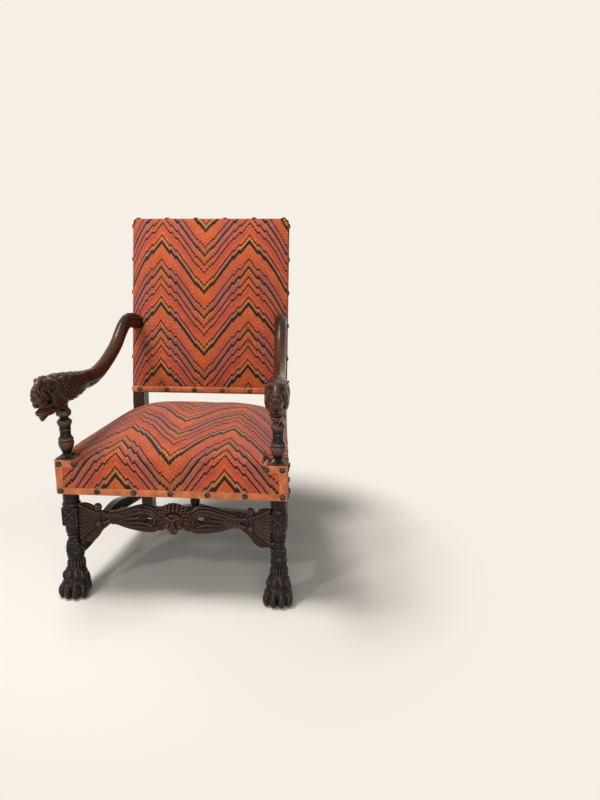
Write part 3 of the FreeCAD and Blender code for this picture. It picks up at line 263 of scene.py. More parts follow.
# Pattern and dyes of the flame stitch
flame = {
    # Millimetres from peak to peak, from peak to valley and from one band of colours to the next
    "period": 332, "drop": 194, "repeat": 230, "stitch": 2.4, "row": 7.5, "dyeCell": (3.6, 4.2),
    # How far the waves and the single stitches turn lighter or darker, and how far the waves turn the hue
    "shade": (0.55, 1.2), "dye": (0.8, 1.2), "hue": (0.482, 0.532),
    # How far the lines have fallen at shares of the way from a peak to a valley
    "fall": ((0.189, 0.212), (0.225, 0.188), (0.335, 0.322), (0.366, 0.302), (0.415, 0.369), (0.610, 0.585),
             (0.811, 0.821), (0.838, 0.806), (0.866, 0.862), (0.888, 0.848), (0.922, 0.915), (0.943, 0.900),
             (0.968, 0.958), (0.982, 0.948)),
    # Where each stripe starts on the way down, its colour at the points and its colour on the slopes
    "stripes": (
        (0.000, "#15130E", "#181210"), (0.046, "#C44E2C", "#BC462E"), (0.075, "#DA5730", "#D44E2E"),
        (0.105, "#AC4429", "#9C423A"), (0.125, "#DC5831", "#D6502F"), (0.160, "#B4422C", "#A2463F"),
        (0.180, "#D84E2F", "#D0462E"), (0.215, "#AE3827", "#9E3830"), (0.235, "#D6472D", "#CC402E"),
        (0.274, "#220D0B", "#220D0B"), (0.308, "#B0583E", "#A65650"), (0.330, "#C45437", "#B84A42"),
        (0.365, "#A84836", "#9A4644"), (0.406, "#120E0A", "#160E0A"),
        (0.450, "#C47236", "#AC625A"), (0.474, "#C4522E", "#B44C46"), (0.505, "#CC4C2D", "#C0483A"),
        (0.530, "#B0482F", "#A04644"), (0.566, "#2C120B", "#2C120D"), (0.598, "#D45A38", "#C85046"),
        (0.625, "#BC4832", "#AC4642"), (0.648, "#D45034", "#CC4638"), (0.682, "#1C0A09", "#1C0A09"),
        (0.718, "#B8523A", "#A85048"), (0.740, "#D03F2B", "#C63A2E"), (0.770, "#B0382A", "#A03834"),
        (0.790, "#D2422D", "#CA3C2D"), (0.845, "#D84A2F", "#D0422E"), (0.890, "#2E150C", "#2C120F"),
        (0.924, "#C8763C", "#AC665C"), (0.952, "#CC6238", "#B8604E"), (0.978, "#2A1812", "#281412")),
}


def clothPlace(tree):
    # The cloth's own coordinates in metres, whole and in parts
    uv = addNode(tree, "UVMap", {"uv_map": "cloth"})
    return uv, addNode(tree, "SeparateXYZ", {}, {0: uv})


def ripple(tree, pitch, source):
    # A wave that comes round every pitch millimetres along a coordinate in metres
    turned = addNode(tree, "Math", {"operation": "MULTIPLY", 1: 2000 * pi / pitch}, {0: source})
    return addNode(tree, "Math", {"operation": "SINE"}, {0: turned})


def flameStitch():
    # Wool flame stitch on canvas: upright matt stitches in stepped points, worked in rust, red, coral and
    # ochre between dark outlines, with a faint fuzz that lights the edges
    material, tree, shader = newMaterial("wool flame stitch", Roughness=0.92, Sheen_Weight=0.25,
                                         Sheen_Roughness=0.5, Specular_IOR_Level=0.2)
    uv, parts = clothPlace(tree)
    wobble = addNode(tree, "TexNoise", {"Scale": 1000 / 90, "Detail": 2.0}, {"Vector": uv})
    across = addNode(tree, "Math", {"operation": "MULTIPLY_ADD", 1: 0.007}, {0: wobble, 2: (parts, 0)})
    column = addNode(tree, "Math", {"operation": "SNAP", 1: flame["stitch"] / 1000}, {0: across})
    half = addNode(tree, "Math", {"operation": "DIVIDE", 1: flame["period"] / 2000}, {0: column})
    share = addNode(tree, "Math", {"operation": "PINGPONG", 1: 1.0}, {0: half})
    fall = addNode(tree, "FloatCurve", {}, {"Value": share})
    curve = fall.mapping.curves[0]
    for x, y in flame["fall"]:
        curve.points.new(x, y)
    for point in curve.points:
        point.handle_type = "VECTOR"
    fall.mapping.update()
    down = addNode(tree, "Math", {"operation": "MULTIPLY_ADD", 1: flame["drop"] / 1000},
                   {0: fall, 2: (parts, 1)})
    turns = addNode(tree, "Math", {"operation": "DIVIDE", 1: -flame["repeat"] / 1000}, {0: down})
    fuzz = addNode(tree, "TexNoise", {"Scale": 1000 / 2.6, "Detail": 1.0}, {"Vector": uv})
    turns = addNode(tree, "Math", {"operation": "MULTIPLY_ADD", 1: 0.012}, {0: fuzz, 2: turns})
    turns = addNode(tree, "Math", {"operation": "SUBTRACT", 1: 0.006}, {0: turns})
    place = addNode(tree, "Math", {"operation": "FRACT"}, {0: turns})
    ramps = []
    for pick in (1, 2):
        ramp = addNode(tree, "ValToRGB", {}, {0: place})
        ramp.color_ramp.interpolation = "CONSTANT"
        ramps.append(fillRamp(ramp, [(stripe[0], stripe[pick]) for stripe in flame["stripes"]]))
    slope = addNode(tree, "Math", {"operation": "PINGPONG", 1: 0.5}, {0: share})
    slope = addNode(tree, "MapRange", {"From Min": 0.12, "From Max": 0.3}, {"Value": slope})
    stripe = addNode(tree, "Mix", {"data_type": "RGBA"}, {0: slope, 6: ramps[0], 7: ramps[1]})

    # Little waves of lighter and darker wool: a stitch row is too fine to show, so the waves are drawn
    # two rows high
    zig = addNode(tree, "Math", {"operation": "PINGPONG", 1: flame["row"] / 1000}, {0: (parts, 0)})
    zag = addNode(tree, "Math", {"operation": "ADD"}, {0: zig, 1: (parts, 1)})
    wave = ripple(tree, flame["row"], zag)
    shade = addNode(tree, "MapRange", {"From Min": -1.0, "From Max": 1.0, "To Min": flame["shade"][0],
                                       "To Max": flame["shade"][1]}, {"Value": wave})
    age = addNode(tree, "TexNoise", {"Scale": 1000 / 45, "Detail": 4.0, "Roughness": 0.65}, {"Vector": uv})
    worn = addNode(tree, "MapRange", {"From Min": 0.3, "From Max": 0.7, "To Min": 0.88, "To Max": 1.08},
                   {"Value": age})
    both = addNode(tree, "Math", {"operation": "MULTIPLY"}, {0: shade, 1: worn})
    # Each stitch takes the dye a little differently
    cell = [side / 1000 for side in flame["dyeCell"]]
    cells = addNode(tree, "VectorMath", {"operation": "SNAP", 1: (*cell, 1.0)}, {0: uv})
    dye = addNode(tree, "TexWhiteNoise", {"noise_dimensions": "2D"}, {"Vector": cells})
    dye = addNode(tree, "MapRange", {"To Min": flame["dye"][0], "To Max": flame["dye"][1]}, {"Value": dye})
    both = addNode(tree, "Math", {"operation": "MULTIPLY"}, {0: both, 1: dye})
    hue = addNode(tree, "MapRange", {"From Min": -1.0, "From Max": 1.0, "To Min": flame["hue"][0],
                                     "To Max": flame["hue"][1]}, {"Value": wave})
    toned = addNode(tree, "HueSaturation", {"Saturation": 1.0},
                    {"Hue": hue, "Value": both, "Color": (stripe, 2)})
    tree.links.new(toned.outputs[0], shader.inputs["Base Color"])

    ribs = ripple(tree, flame["stitch"], (parts, 0))
    lift = addNode(tree, "Math", {"operation": "MULTIPLY_ADD", 1: 0.6}, {0: wave, 2: ribs})
    loose = addNode(tree, "Math", {"operation": "ADD"}, {0: lift, 1: fuzz})
    bump = addNode(tree, "Bump", {"Strength": 0.55, "Distance": 0.0005}, {"Height": loose})
    tree.links.new(bump.outputs[0], shader.inputs["Normal"])
    return material


def wovenCloth(name, warp, weft, thread, rough=0.9, stain=0.25, fold=0.0003):
    # Warp and weft cross over and under each other, thread is their spacing in millimetres
    material, tree, shader = newMaterial(name, Roughness=rough, Specular_IOR_Level=0.2, Sheen_Weight=0.1)
    uv, parts = clothPlace(tree)
    waves = [ripple(tree, thread * 2, (parts, axis)) for axis in (0, 1)]
    weave = addNode(tree, "Math", {"operation": "MULTIPLY"}, {0: waves[0], 1: waves[1]})
    pick = addNode(tree, "MapRange", {"From Min": -0.5, "From Max": 0.5}, {"Value": weave})
    yarn = addNode(tree, "Mix", {"data_type": "RGBA", 6: paint(warp), 7: paint(weft)}, {0: pick})
    soil = addNode(tree, "TexNoise", {"Scale": 1000 / 60, "Detail": 4.0}, {"Vector": uv})
    worn = addNode(tree, "MapRange", {"From Min": 0.3, "From Max": 0.7, "To Min": 1 - stain, "To Max": 1.05},
                   {"Value": soil})
    toned = addNode(tree, "Mix", {"data_type": "RGBA", "blend_type": "MULTIPLY", 0: 1.0},
                    {6: (yarn, 2), 7: worn})
    tree.links.new(toned.outputs[2], shader.inputs["Base Color"])
    bump = addNode(tree, "Bump", {"Strength": 0.6, "Distance": fold}, {"Height": weave})
    tree.links.new(bump.outputs[0], shader.inputs["Normal"])
    return material


# Cords of the braid in millimetres, and their colours, which follow the cords' height: light on the crests as
# painted highlight, dark in the grooves as painted shade
gimp = {"pitch": 3.4, "twist": 2.4, "width": 22, "light": "#DA824E", "mid": "#CB6B39", "dark": "#9A4B25"}


def cottonGimp():
    # Woven upholstery braid: slanting orange-tan cords that meet in a herringbone, with a rounded cord at
    # each edge
    material, tree, shader = newMaterial("cotton gimp braid", Roughness=0.7, Sheen_Weight=0.3,
                                         Specular_IOR_Level=0.3)
    uv, parts = clothPlace(tree)
    side = addNode(tree, "Math", {"operation": "ABSOLUTE"}, {0: (parts, 1)})
    slant = addNode(tree, "Math", {"operation": "MULTIPLY_ADD", 1: 0.8}, {0: side, 2: (parts, 0)})
    cords = ripple(tree, gimp["pitch"], slant)
    edge = addNode(tree, "MapRange",
                   {"From Min": gimp["width"] * 0.36 / 1000, "From Max": gimp["width"] * 0.4 / 1000},
                   {"Value": side})
    twist = ripple(tree, gimp["twist"], (parts, 0))
    height = addNode(tree, "Mix", {"data_type": "FLOAT"}, {0: edge, 2: cords, 3: twist})
    soil = addNode(tree, "TexNoise", {"Scale": 1000 / 30, "Detail": 4.0}, {"Vector": uv})
    # The colour follows the cords' height as well as the dirt: lighter on the crests as painted highlight,
    # darker in the grooves as painted shade
    lift = addNode(tree, "Math", {"operation": "MULTIPLY_ADD", 1: 0.16}, {0: height, 2: soil})
    tone = fillRamp(addNode(tree, "ValToRGB", {}, {0: lift}),
                    [(0.3, gimp["dark"]), (0.48, gimp["mid"]), (0.68, gimp["light"])])
    tree.links.new(tone.outputs[0], shader.inputs["Base Color"])
    bump = addNode(tree, "Bump", {"Strength": 0.7, "Distance": 0.0005}, {"Height": height})
    tree.links.new(bump.outputs[0], shader.inputs["Normal"])
    return material


def agedMetal(name, bright, dull, rough, patch, pit):
    # A metal skin with duller patches where it has tarnished, and fine pits
    material, tree, shader = newMaterial(name, Metallic=1.0)
    place = addNode(tree, "TexCoord")
    patches = addNode(tree, "TexNoise", {"Scale": 1000 / patch, "Detail": 3.0}, {"Vector": (place, "Object")})
    tone = fillRamp(addNode(tree, "ValToRGB", {}, {0: patches}), [(0.38, dull), (0.62, bright)])
    tree.links.new(tone.outputs[0], shader.inputs["Base Color"])
    shine = addNode(tree, "MapRange",
                    {"From Min": 0.35, "From Max": 0.65, "To Min": rough + 0.18, "To Max": rough},
                    {"Value": patches})
    tree.links.new(shine.outputs[0], shader.inputs["Roughness"])
    pits = addNode(tree, "TexNoise", {"Scale": 1000 / pit, "Detail": 2.0}, {"Vector": (place, "Object")})
    bump = addNode(tree, "Bump", {"Strength": 0.3, "Distance": 0.0002}, {"Height": pits})
    tree.links.new(bump.outputs[0], shader.inputs["Normal"])
    return material


def sawnBeech():
    # Plain beech, sawn and left bare inside the upholstery: pale brown with short flecks and faint saw lines
    material, tree, shader = newMaterial("sawn beech", Roughness=0.72, IOR=1.5)
    place = addNode(tree, "TexCoord")
    wide = addNode(tree, "Mapping", {"Scale": (25, 250, 160)}, {"Vector": (place, "Object")})
    grain = addNode(tree, "TexNoise", {"Scale": 1.0, "Detail": 5.0}, {"Vector": wide})
    tone = fillRamp(addNode(tree, "ValToRGB", {}, {0: grain}),
                    [(0.32, "#7E5A3B"), (0.55, "#A57C54"), (0.75, "#B98F66")])
    tree.links.new(tone.outputs[0], shader.inputs["Base Color"])
    saw = addNode(tree, "TexWave", {"Scale": 1000 / 2.5 / 20, "Distortion": 3.0},
                  {"Vector": (place, "Object")})
    bump = addNode(tree, "Bump", {"Strength": 0.3, "Distance": 0.0003}, {"Height": (saw, "Fac")})
    tree.links.new(bump.outputs[0], shader.inputs["Normal"])
    return material


def curledHair():
    # Horsehair and tow stuffing: a springy tangle of dark hairs
    material, tree, shader = newMaterial("horsehair stuffing", Roughness=0.85)
    place = addNode(tree, "TexCoord")
    tangle = addNode(tree, "TexNoise",
                     {"Scale": 1000 / 6, "Detail": 8.0, "Roughness": 0.75, "Distortion": 2.5},
                     {"Vector": (place, "Object")})
    tone = fillRamp(addNode(tree, "ValToRGB", {}, {0: tangle}), [(0.4, "#2B2019"), (0.6, "#6B5640")])
    tree.links.new(tone.outputs[0], shader.inputs["Base Color"])
    bump = addNode(tree, "Bump", {"Strength": 0.8, "Distance": 0.002}, {"Height": tangle})
    tree.links.new(bump.outputs[0], shader.inputs["Normal"])
    return material


oakAcross = waxedOak("waxed oak, grain across", 0)
oakDeep = waxedOak("waxed oak, grain front to back", 1)
oakUpright = waxedOak("waxed oak, upright grain", 2)
flameCloth = flameStitch()
braidCloth = cottonGimp()
backCloth = wovenCloth("plain wool backing cloth", "#6E2A22", "#7E352A", 1.6)
jute = wovenCloth("jute webbing", "#A98C5F", "#8F744B", 3.2, fold=0.0006)
linen = wovenCloth("linen canvas", "#B9A88A", "#A8967A", 1.4)
blackCotton = wovenCloth("black cotton dust cloth", "#1B1A1A", "#242222", 1.0)
brass = agedMetal("aged brass nail", "#5A554C", "#1C1B1A", 0.28, 5, 1.2)
steel = agedMetal("oiled steel", "#8E8D8A", "#5B534B", 0.34, 9, 1.5)
beech = sawnBeech()
horsehair = curledHair()
print("finishes are made")


def finishPiece(name, shape, material, slotName, stands=(), smooth=40, place=toFrame):
    # shape is a bmesh or a mesh, drawn in millimetres
    mesh = toMesh(shape, name) if isinstance(shape, bmesh.types.BMesh) else shape
    mesh.transform(place)
    mesh.materials.clear()
    mesh.materials.append(material)
    mesh.shade_smooth()
    if smooth:
        mesh.set_sharp_from_angle(angle=radians(smooth))
    piece = bpy.data.objects.new(name, mesh)
    scene.collection.objects.link(piece)
    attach(piece, "root")
    if stands:
        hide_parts(*stands)
    return piece


def setUv(bm, rule):
    # rule turns a face and a point in millimetres into cloth coordinates in millimetres
    layer = bm.loops.layers.uv.get("cloth") or bm.loops.layers.uv.new("cloth")
    for face in bm.faces:
        for loop in face.loops:
            u, v = rule(face, loop.vert.co)
            loop[layer].uv = (u / 1000, v / 1000)


def sideOf(x):
    return 1 if x > 0 else -1


def openEdges(bm):
    return [edge for edge in bm.edges if edge.is_boundary]


def pulledOut(bm, edges):
    # Extrudes the open edges, and gives the new row's points and its outer edges
    made = bmesh.ops.extrude_edge_only(bm, edges=edges)["geom"]
    verts = [item for item in made if isinstance(item, bmesh.types.BMVert)]
    return verts, [item for item in made if isinstance(item, bmesh.types.BMEdge) and item.is_boundary]


def thicken(piece, name, thick, offset=0):
    # An offset of 0 lays the wall on both sides of the sheet, and -1 on its inner side
    wall = piece.modifiers.new(name, "SOLIDIFY")
    wall.thickness = thick / 1000
    wall.offset = offset


def easedBlock(size, ease, place=Matrix.Identity(4)):
    # A block with its edges rounded over
    bm = bmesh.new()
    bmesh.ops.create_cube(bm, size=1, matrix=place @ Matrix.Diagonal((*size, 1)))
    bmesh.ops.bevel(bm, geom=bm.edges[:], offset=ease, offset_type="OFFSET", segments=2, profile=0.5,
                    affect="EDGES", material=-1)
    return bm


def addStrip(bm, length, width, thick, place):
    # A flat band of cloth: its length lies on x, its width on y, and its uv follows them
    fresh = easedBlock((length, width, thick), trim["ease"])
    setUv(fresh, lambda face, point: (point.x, point.y))
    bmesh.ops.transform(fresh, matrix=place, verts=fresh.verts)
    mesh = toMesh(fresh, "strip")
    bm.from_mesh(mesh)
    bpy.data.meshes.remove(mesh)


def bandBetween(start, end, facing):
    # Turns a strip's x towards end and its z to the side that it faces
    run = (Vector(end) - Vector(start)).normalized()
    out = Vector(facing).normalized()
    side = out.cross(run)
    turn = Matrix((run, side, out)).transposed().to_4x4()
    return Matrix.Translation((Vector(start) + Vector(end)) / 2) @ turn


def addBand(bm, start, end, facing, width, thick):
    addStrip(bm, (Vector(end) - Vector(start)).length, width, thick, bandBetween(start, end, facing))


def spun(profile, steps=40):
    # Turns a line of (radius, height) points about z
    bm = bmesh.new()
    points = [bm.verts.new((radius, 0, height)) for radius, height in profile]
    line = [bm.edges.new(pair) for pair in zip(points, points[1:])]
    bmesh.ops.spin(bm, geom=points + line, cent=(0, 0, 0), axis=(0, 0, 1), angle=2 * pi, steps=steps,
                   use_merge=True, use_duplicate=False)
    bmesh.ops.remove_doubles(bm, verts=bm.verts, dist=0.01)
    bmesh.ops.recalc_face_normals(bm, faces=bm.faces)
    return bm


def roundedLine(points, steps=6):
    # A smooth spline through a turned profile, as (radius, height) points
    data = bpy.data.curves.new("line", "CURVE")
    data.dimensions = "3D"
    data.resolution_u = steps
    spline = data.splines.new("NURBS")
    spline.points.add(len(points) - 1)
    for spot, (radius, height) in zip(spline.points, points):
        spot.co = (radius, 0, height, 1)
    spline.order_u = 3
    spline.use_endpoint_u = True
    holder = bpy.data.objects.new("line", data)
    mesh = bpy.data.meshes.new_from_object(holder)
    line = [(vertex.co.x, vertex.co.z) for vertex in mesh.vertices]
    bpy.data.meshes.remove(mesh)
    bpy.data.objects.remove(holder)
    bpy.data.curves.remove(data)
    return line


def coords(mesh):
    values = np.zeros(len(mesh.vertices) * 3, np.float32)
    mesh.vertices.foreach_get("co", values)
    return values.reshape(-1, 3).astype(float)


def normalsOf(mesh):
    values = np.zeros(len(mesh.vertices) * 3, np.float32)
    mesh.vertex_normals.foreach_get("vector", values)
    return values.reshape(-1, 3).astype(float)


def moveTo(mesh, spots):
    mesh.vertices.foreach_set("co", spots.astype(np.float32).ravel())
    mesh.update()
    return mesh


def evaluated(piece):
    # The mesh of an object with its modifiers applied, and the object is removed
    bpy.context.view_layer.update()
    graph = bpy.context.evaluated_depsgraph_get()
    mesh = bpy.data.meshes.new_from_object(piece.evaluated_get(graph))
    old = piece.data
    bpy.data.objects.remove(piece)
    bpy.data.meshes.remove(old)
    return mesh


def ridable(mesh, name="work"):
    piece = bpy.data.objects.new(name, mesh)
    scene.collection.objects.link(piece)
    return piece


def mirroredMesh(mesh, name):
    # The other side's copy, with its faces turned back outwards
    other = mesh.copy()
    other.name = name
    other.transform(Matrix.Diagonal((-1, 1, 1, 1)))
    other.flip_normals()
    return other


# The seat's cover and stuffing
seat = {
    # Height of the seat's top down its middle, from the front edge to behind the back cushion
    "crown": ((-29, 455), (-25, 464), (-20, 470), (-10, 476), (0, 481), (25, 488), (50, 493), (100, 503),
              (175, 516), (250, 526), (330, 532), (400, 531.5), (450, 524), (490, 512), (521, 497),
              (540, 484), (560, 468), (574, 455)),
    # Height of its side edges, and how sharply it rounds over to them
    "sideEdge": ((33, 447), (80, 452), (150, 458), (300, 462), (450, 462)), "sideCurve": 3.8,
    # Outer face of the side rails: its place at the front, and how far it closes in between two places
    "railHalf": 349, "railTaper": 55, "railFrom": 26, "railTo": 523, "skin": 2,
    "low": 340.5, "frontTall": 115, "blockTop": 449, "notch": 277, "notchBack": 33,
    "post": 249.2, "postFront": 522.3, "wallTop": 464, "tackedFrom": 515,
    # Where the cloth's pattern starts, and how uneven and how taut the padding is
    "clothLow": 340, "clothTop": 460, "phaseX": -163, "phaseV": 72, "lumps": 1.6, "lumpWidth": 70, "puff": 5,
    # The stuffing under the cover: how much lower and smaller it is, and its lower edge
    "padDrop": 3.5, "padFrom": 451, "padShare": 0.985, "padMiddle": 270, "padLow": 446.5,
}
# Settings of the short simulation that puffs the covers up
puffing = {"pressure": 4.0, "quality": 6, "mass": 0.4, "stretch": 25, "bend": 1.5, "frames": 20}


def crownAt(y):
    ys, zs = zip(*seat["crown"])
    return float(np.interp(y, ys, zs))


def railX(y):
    # Outer face of the side rails
    start, end = seat["railFrom"], seat["railTo"]
    return seat["railHalf"] - seat["railTaper"] * (min(max(y, start), end) - start) / (end - start)


def coverHalf(y):
    return railX(y) + seat["skin"]


def seatArc(y):
    # Distance up the front and over the crown
    ys = np.array([place[0] for place in seat["crown"]], float)
    zs = np.array([place[1] for place in seat["crown"]], float)
    run = np.concatenate([[0], np.cumsum(np.hypot(np.diff(ys), np.diff(zs)))])
    return seat["frontTall"] + float(np.interp(y, ys, run))


def seatSurface(rows, columns):
    # The cover's outer skin before its walls: the crowned top and its low corners over the leg blocks
    bm = bmesh.new()
    bmesh.ops.create_grid(bm, x_segments=len(columns) - 1, y_segments=len(rows) - 1, size=1)
    for vertex in bm.verts:
        share = columns[round((vertex.co.x + 1) / 2 * (len(columns) - 1))]
        y = rows[round((vertex.co.y + 1) / 2 * (len(rows) - 1))]
        half = coverHalf(y)
        middle = crownAt(y)
        edge = min(float(np.interp(y, *zip(*seat["sideEdge"]))), middle)
        z = middle - (middle - edge) * abs(share) ** seat["sideCurve"]
        x = share * half
        if y < seat["notchBack"] + 0.5 and abs(share) > seat["notch"] / coverHalf(0) + 0.003:
            z = seat["blockTop"]
        if y >= seat["postFront"] - 0.1:
            x = share * coverHalf(seat["railTo"])
        vertex.co = (x, y, z)
    gone = [face for face in bm.faces if face.calc_center_median().y > seat["postFront"]
            and abs(face.calc_center_median().x) > seat["post"]]
    bmesh.ops.delete(bm, geom=gone, context="FACES")
    bmesh.ops.recalc_face_normals(bm, faces=bm.faces)
    if sum(face.normal.z for face in bm.faces) < 0:
        bmesh.ops.reverse_faces(bm, faces=bm.faces)
    return bm


def addWalls(bm, low, rows):
    # Takes the open edge straight down to the lower edge of the rails
    edges = openEdges(bm)
    tops = {}
    for level in range(1, rows + 1):
        verts, edges = pulledOut(bm, edges)
        for vertex in verts:
            key = (round(vertex.co.x, 2), round(vertex.co.y, 2))
            top = tops.setdefault(key, vertex.co.z)
            vertex.co.z = top + (low - top) * level / rows
    bmesh.ops.recalc_face_normals(bm, faces=bm.faces)


def seatUv(face, point):
    # The pattern runs up the front, over the top and down at the back, and hangs over the sides
    u, v = point.x, seatArc(point.y)
    normal = face.normal
    besideBlock = abs(point.x) < 345 and point.y < 30 and point.z > 446 and abs(normal.y) < 0.9
    if abs(normal.z) <= 0.35 and not besideBlock:
        if abs(normal.y) <= abs(normal.x):
            u = sideOf(point.x) * (railX(point.y) + max(seat["clothTop"] - point.z, 0))
        elif point.y < 100:
            v = point.z - seat["clothLow"]
        else:
            v += seat["clothTop"] - point.z
    return u - seat["phaseX"], v - seat["phaseV"]


def puffed(mesh, held, cap):
    # Blows the cloth up against its tacked edges, and keeps each point within cap of where it was
    rest = coords(mesh)
    piece = ridable(mesh)
    group = piece.vertex_groups.new(name="tacked")
    group.add([int(i) for i in np.nonzero(held(rest * 1000))[0]], 1.0, "REPLACE")
    cloth = piece.modifiers.new("cloth", "CLOTH")
    cloth.settings.quality = puffing["quality"]
    cloth.settings.mass = puffing["mass"]
    cloth.settings.tension_stiffness = puffing["stretch"]
    cloth.settings.compression_stiffness = puffing["stretch"]
    cloth.settings.bending_stiffness = puffing["bend"]
    cloth.settings.use_pressure = True
    cloth.settings.uniform_pressure_force = puffing["pressure"]
    cloth.settings.vertex_group_mass = "tacked"
    cloth.settings.effector_weights.gravity = 0
    cloth.point_cache.frame_start, cloth.point_cache.frame_end = 1, puffing["frames"]
    for step in range(1, puffing["frames"] + 1):
        scene.frame_set(step)
    made = evaluated(piece)
    shift = coords(made) - rest
    reach = np.linalg.norm(shift, axis=1, keepdims=True)
    shift *= np.minimum(1, cap / 1000 / np.maximum(reach, 1e-9))
    print("cloth moved by up to %.1f mm" % (float(reach.max()) * 1000))
    scene.frame_set(1)
    return moveTo(made, rest + shift)


def lumpy(mesh, height, width, held):
    # Old stuffing settles unevenly
    for vertex in mesh.vertices:
        if not held(vertex.co):
            vertex.co += vertex.normal * height * noise.noise(vertex.co * (1 / width))


def makeSeat():
    notch = seat["notch"] / coverHalf(0)
    post = seat["post"] / coverHalf(seat["railTo"])
    columns = sorted({-1, 1, *(sign * share for sign in (-1, 1) for share in
                     (0.985, 0.96, 0.92, 0.88, post, notch + 0.006, notch, 0.79)),
                      *np.linspace(-0.74, 0.74, 27).tolist()})
    rows = [-29, -27.5, -25, -20, -13, -5, 5, 15, 25, 32.5, 34.5, 45, *range(60, 520, 20), 513,
            seat["postFront"], 530, 540, 552, 564, 574]
    bm = seatSurface(rows, columns)
    bmesh.ops.smooth_vert(bm, verts=[v for v in bm.verts if v.co.z > seat["wallTop"] - 2
                                     and not v.is_boundary], factor=0.5,
                          use_axis_x=False, use_axis_y=False, use_axis_z=True)
    addWalls(bm, seat["low"], 5)
    setUv(bm, seatUv)
    mesh = toMesh(bm, "seatSkin")
    lumpy(mesh, seat["lumps"], seat["lumpWidth"], lambda place: place.z < seat["wallTop"] + 2)
    mesh.transform(Matrix.Scale(0.001, 4))
    mesh = puffed(mesh, lambda spots: (spots[:, 2] < seat["wallTop"]) | (spots[:, 1] > seat["tackedFrom"]),
                  seat["puff"])
    mesh.transform(Matrix.Scale(1000, 4))
    cover = finishPiece("seatCover", mesh, flameCloth, "flame_stitch_cloth", ["seat_cover"], smooth=55)
    thicken(cover, "cloth thickness", 1.7, -1)

    # The stuffing fills what is under the cover, down to the canvas over the springs
    bm = seatSurface(rows[::2] + [rows[-1]], columns[::2])
    for vertex in bm.verts:
        if vertex.co.z > seat["padFrom"]:
            vertex.co.z -= seat["padDrop"]
        vertex.co.x *= seat["padShare"]
        vertex.co.y = (vertex.co.y - seat["padMiddle"]) * seat["padShare"] + seat["padMiddle"]
    addWalls(bm, seat["padLow"], 1)
    bmesh.ops.holes_fill(bm, edges=openEdges(bm), sides=0)
    pad = finishPiece("seatStuffing", bm, horsehair, "stuffing", ["seat_stuffing"])


makeSeat()
print("seat is covered")

# The back's cover and stuffing
backPad = {
    "half": 292, "low": 35.5, "high": 689.5, "pad": 3, "crown": 21, "wrap": 30, "tackedFrom": -3.6,
    # The crown falls away from the middle, by these powers across and along
    "middle": 362, "reach": 327, "sideCurve": 2.6, "endCurve": 3.4,
    # Centre and radius of the rounded top corners
    "cornerX": 280, "cornerZ": 676, "cornerRound": 15,
    # How hard the cloth is pulled down at the right-hand and the left-hand side
    "pullFrom": 228, "pullRight": 0.009, "pullLeft": 0.005,
    "phaseX": -177.5, "phaseV": 146.3, "puff": 5, "lumps": 1.4, "lumpWidth": 90,
    # The stuffing under the cover
    "padHalf": 290, "padTall": 318, "padDrop": 2.2, "padRear": -0.4,
}


def backDepth(x, along):
    # How far in front of the posts the cushion's face stands
    across = 1 - min(abs(x) / backPad["half"], 1) ** backPad["sideCurve"]
    upward = 1 - min(abs(along - backPad["middle"]) / backPad["reach"], 1) ** backPad["endCurve"]
    return -(backPad["pad"] + backPad["crown"] * across * upward)


def backUv(face, point):
    u, v = point.x, point.z
    if abs(face.normal.x) > 0.7:
        u += sideOf(point.x) * max(point.y + backPad["pad"], 0)
    if abs(face.normal.z) > 0.7:
        v += sideOf(point.z - backPad["middle"]) * max(point.y + backPad["pad"], 0)
    # The cloth is pulled down round the sides, most on the right-hand one
    past = max(abs(point.x) - backPad["pullFrom"], 0)
    v += past * past * (backPad["pullLeft"] if point.x > 0 else backPad["pullRight"])
    return u - backPad["phaseX"], v - backPad["phaseV"]


def crowded(share):
    # Sets rows closer together toward the edges
    return (1 - (1 - abs(share)) ** 1.25) * sideOf(share)


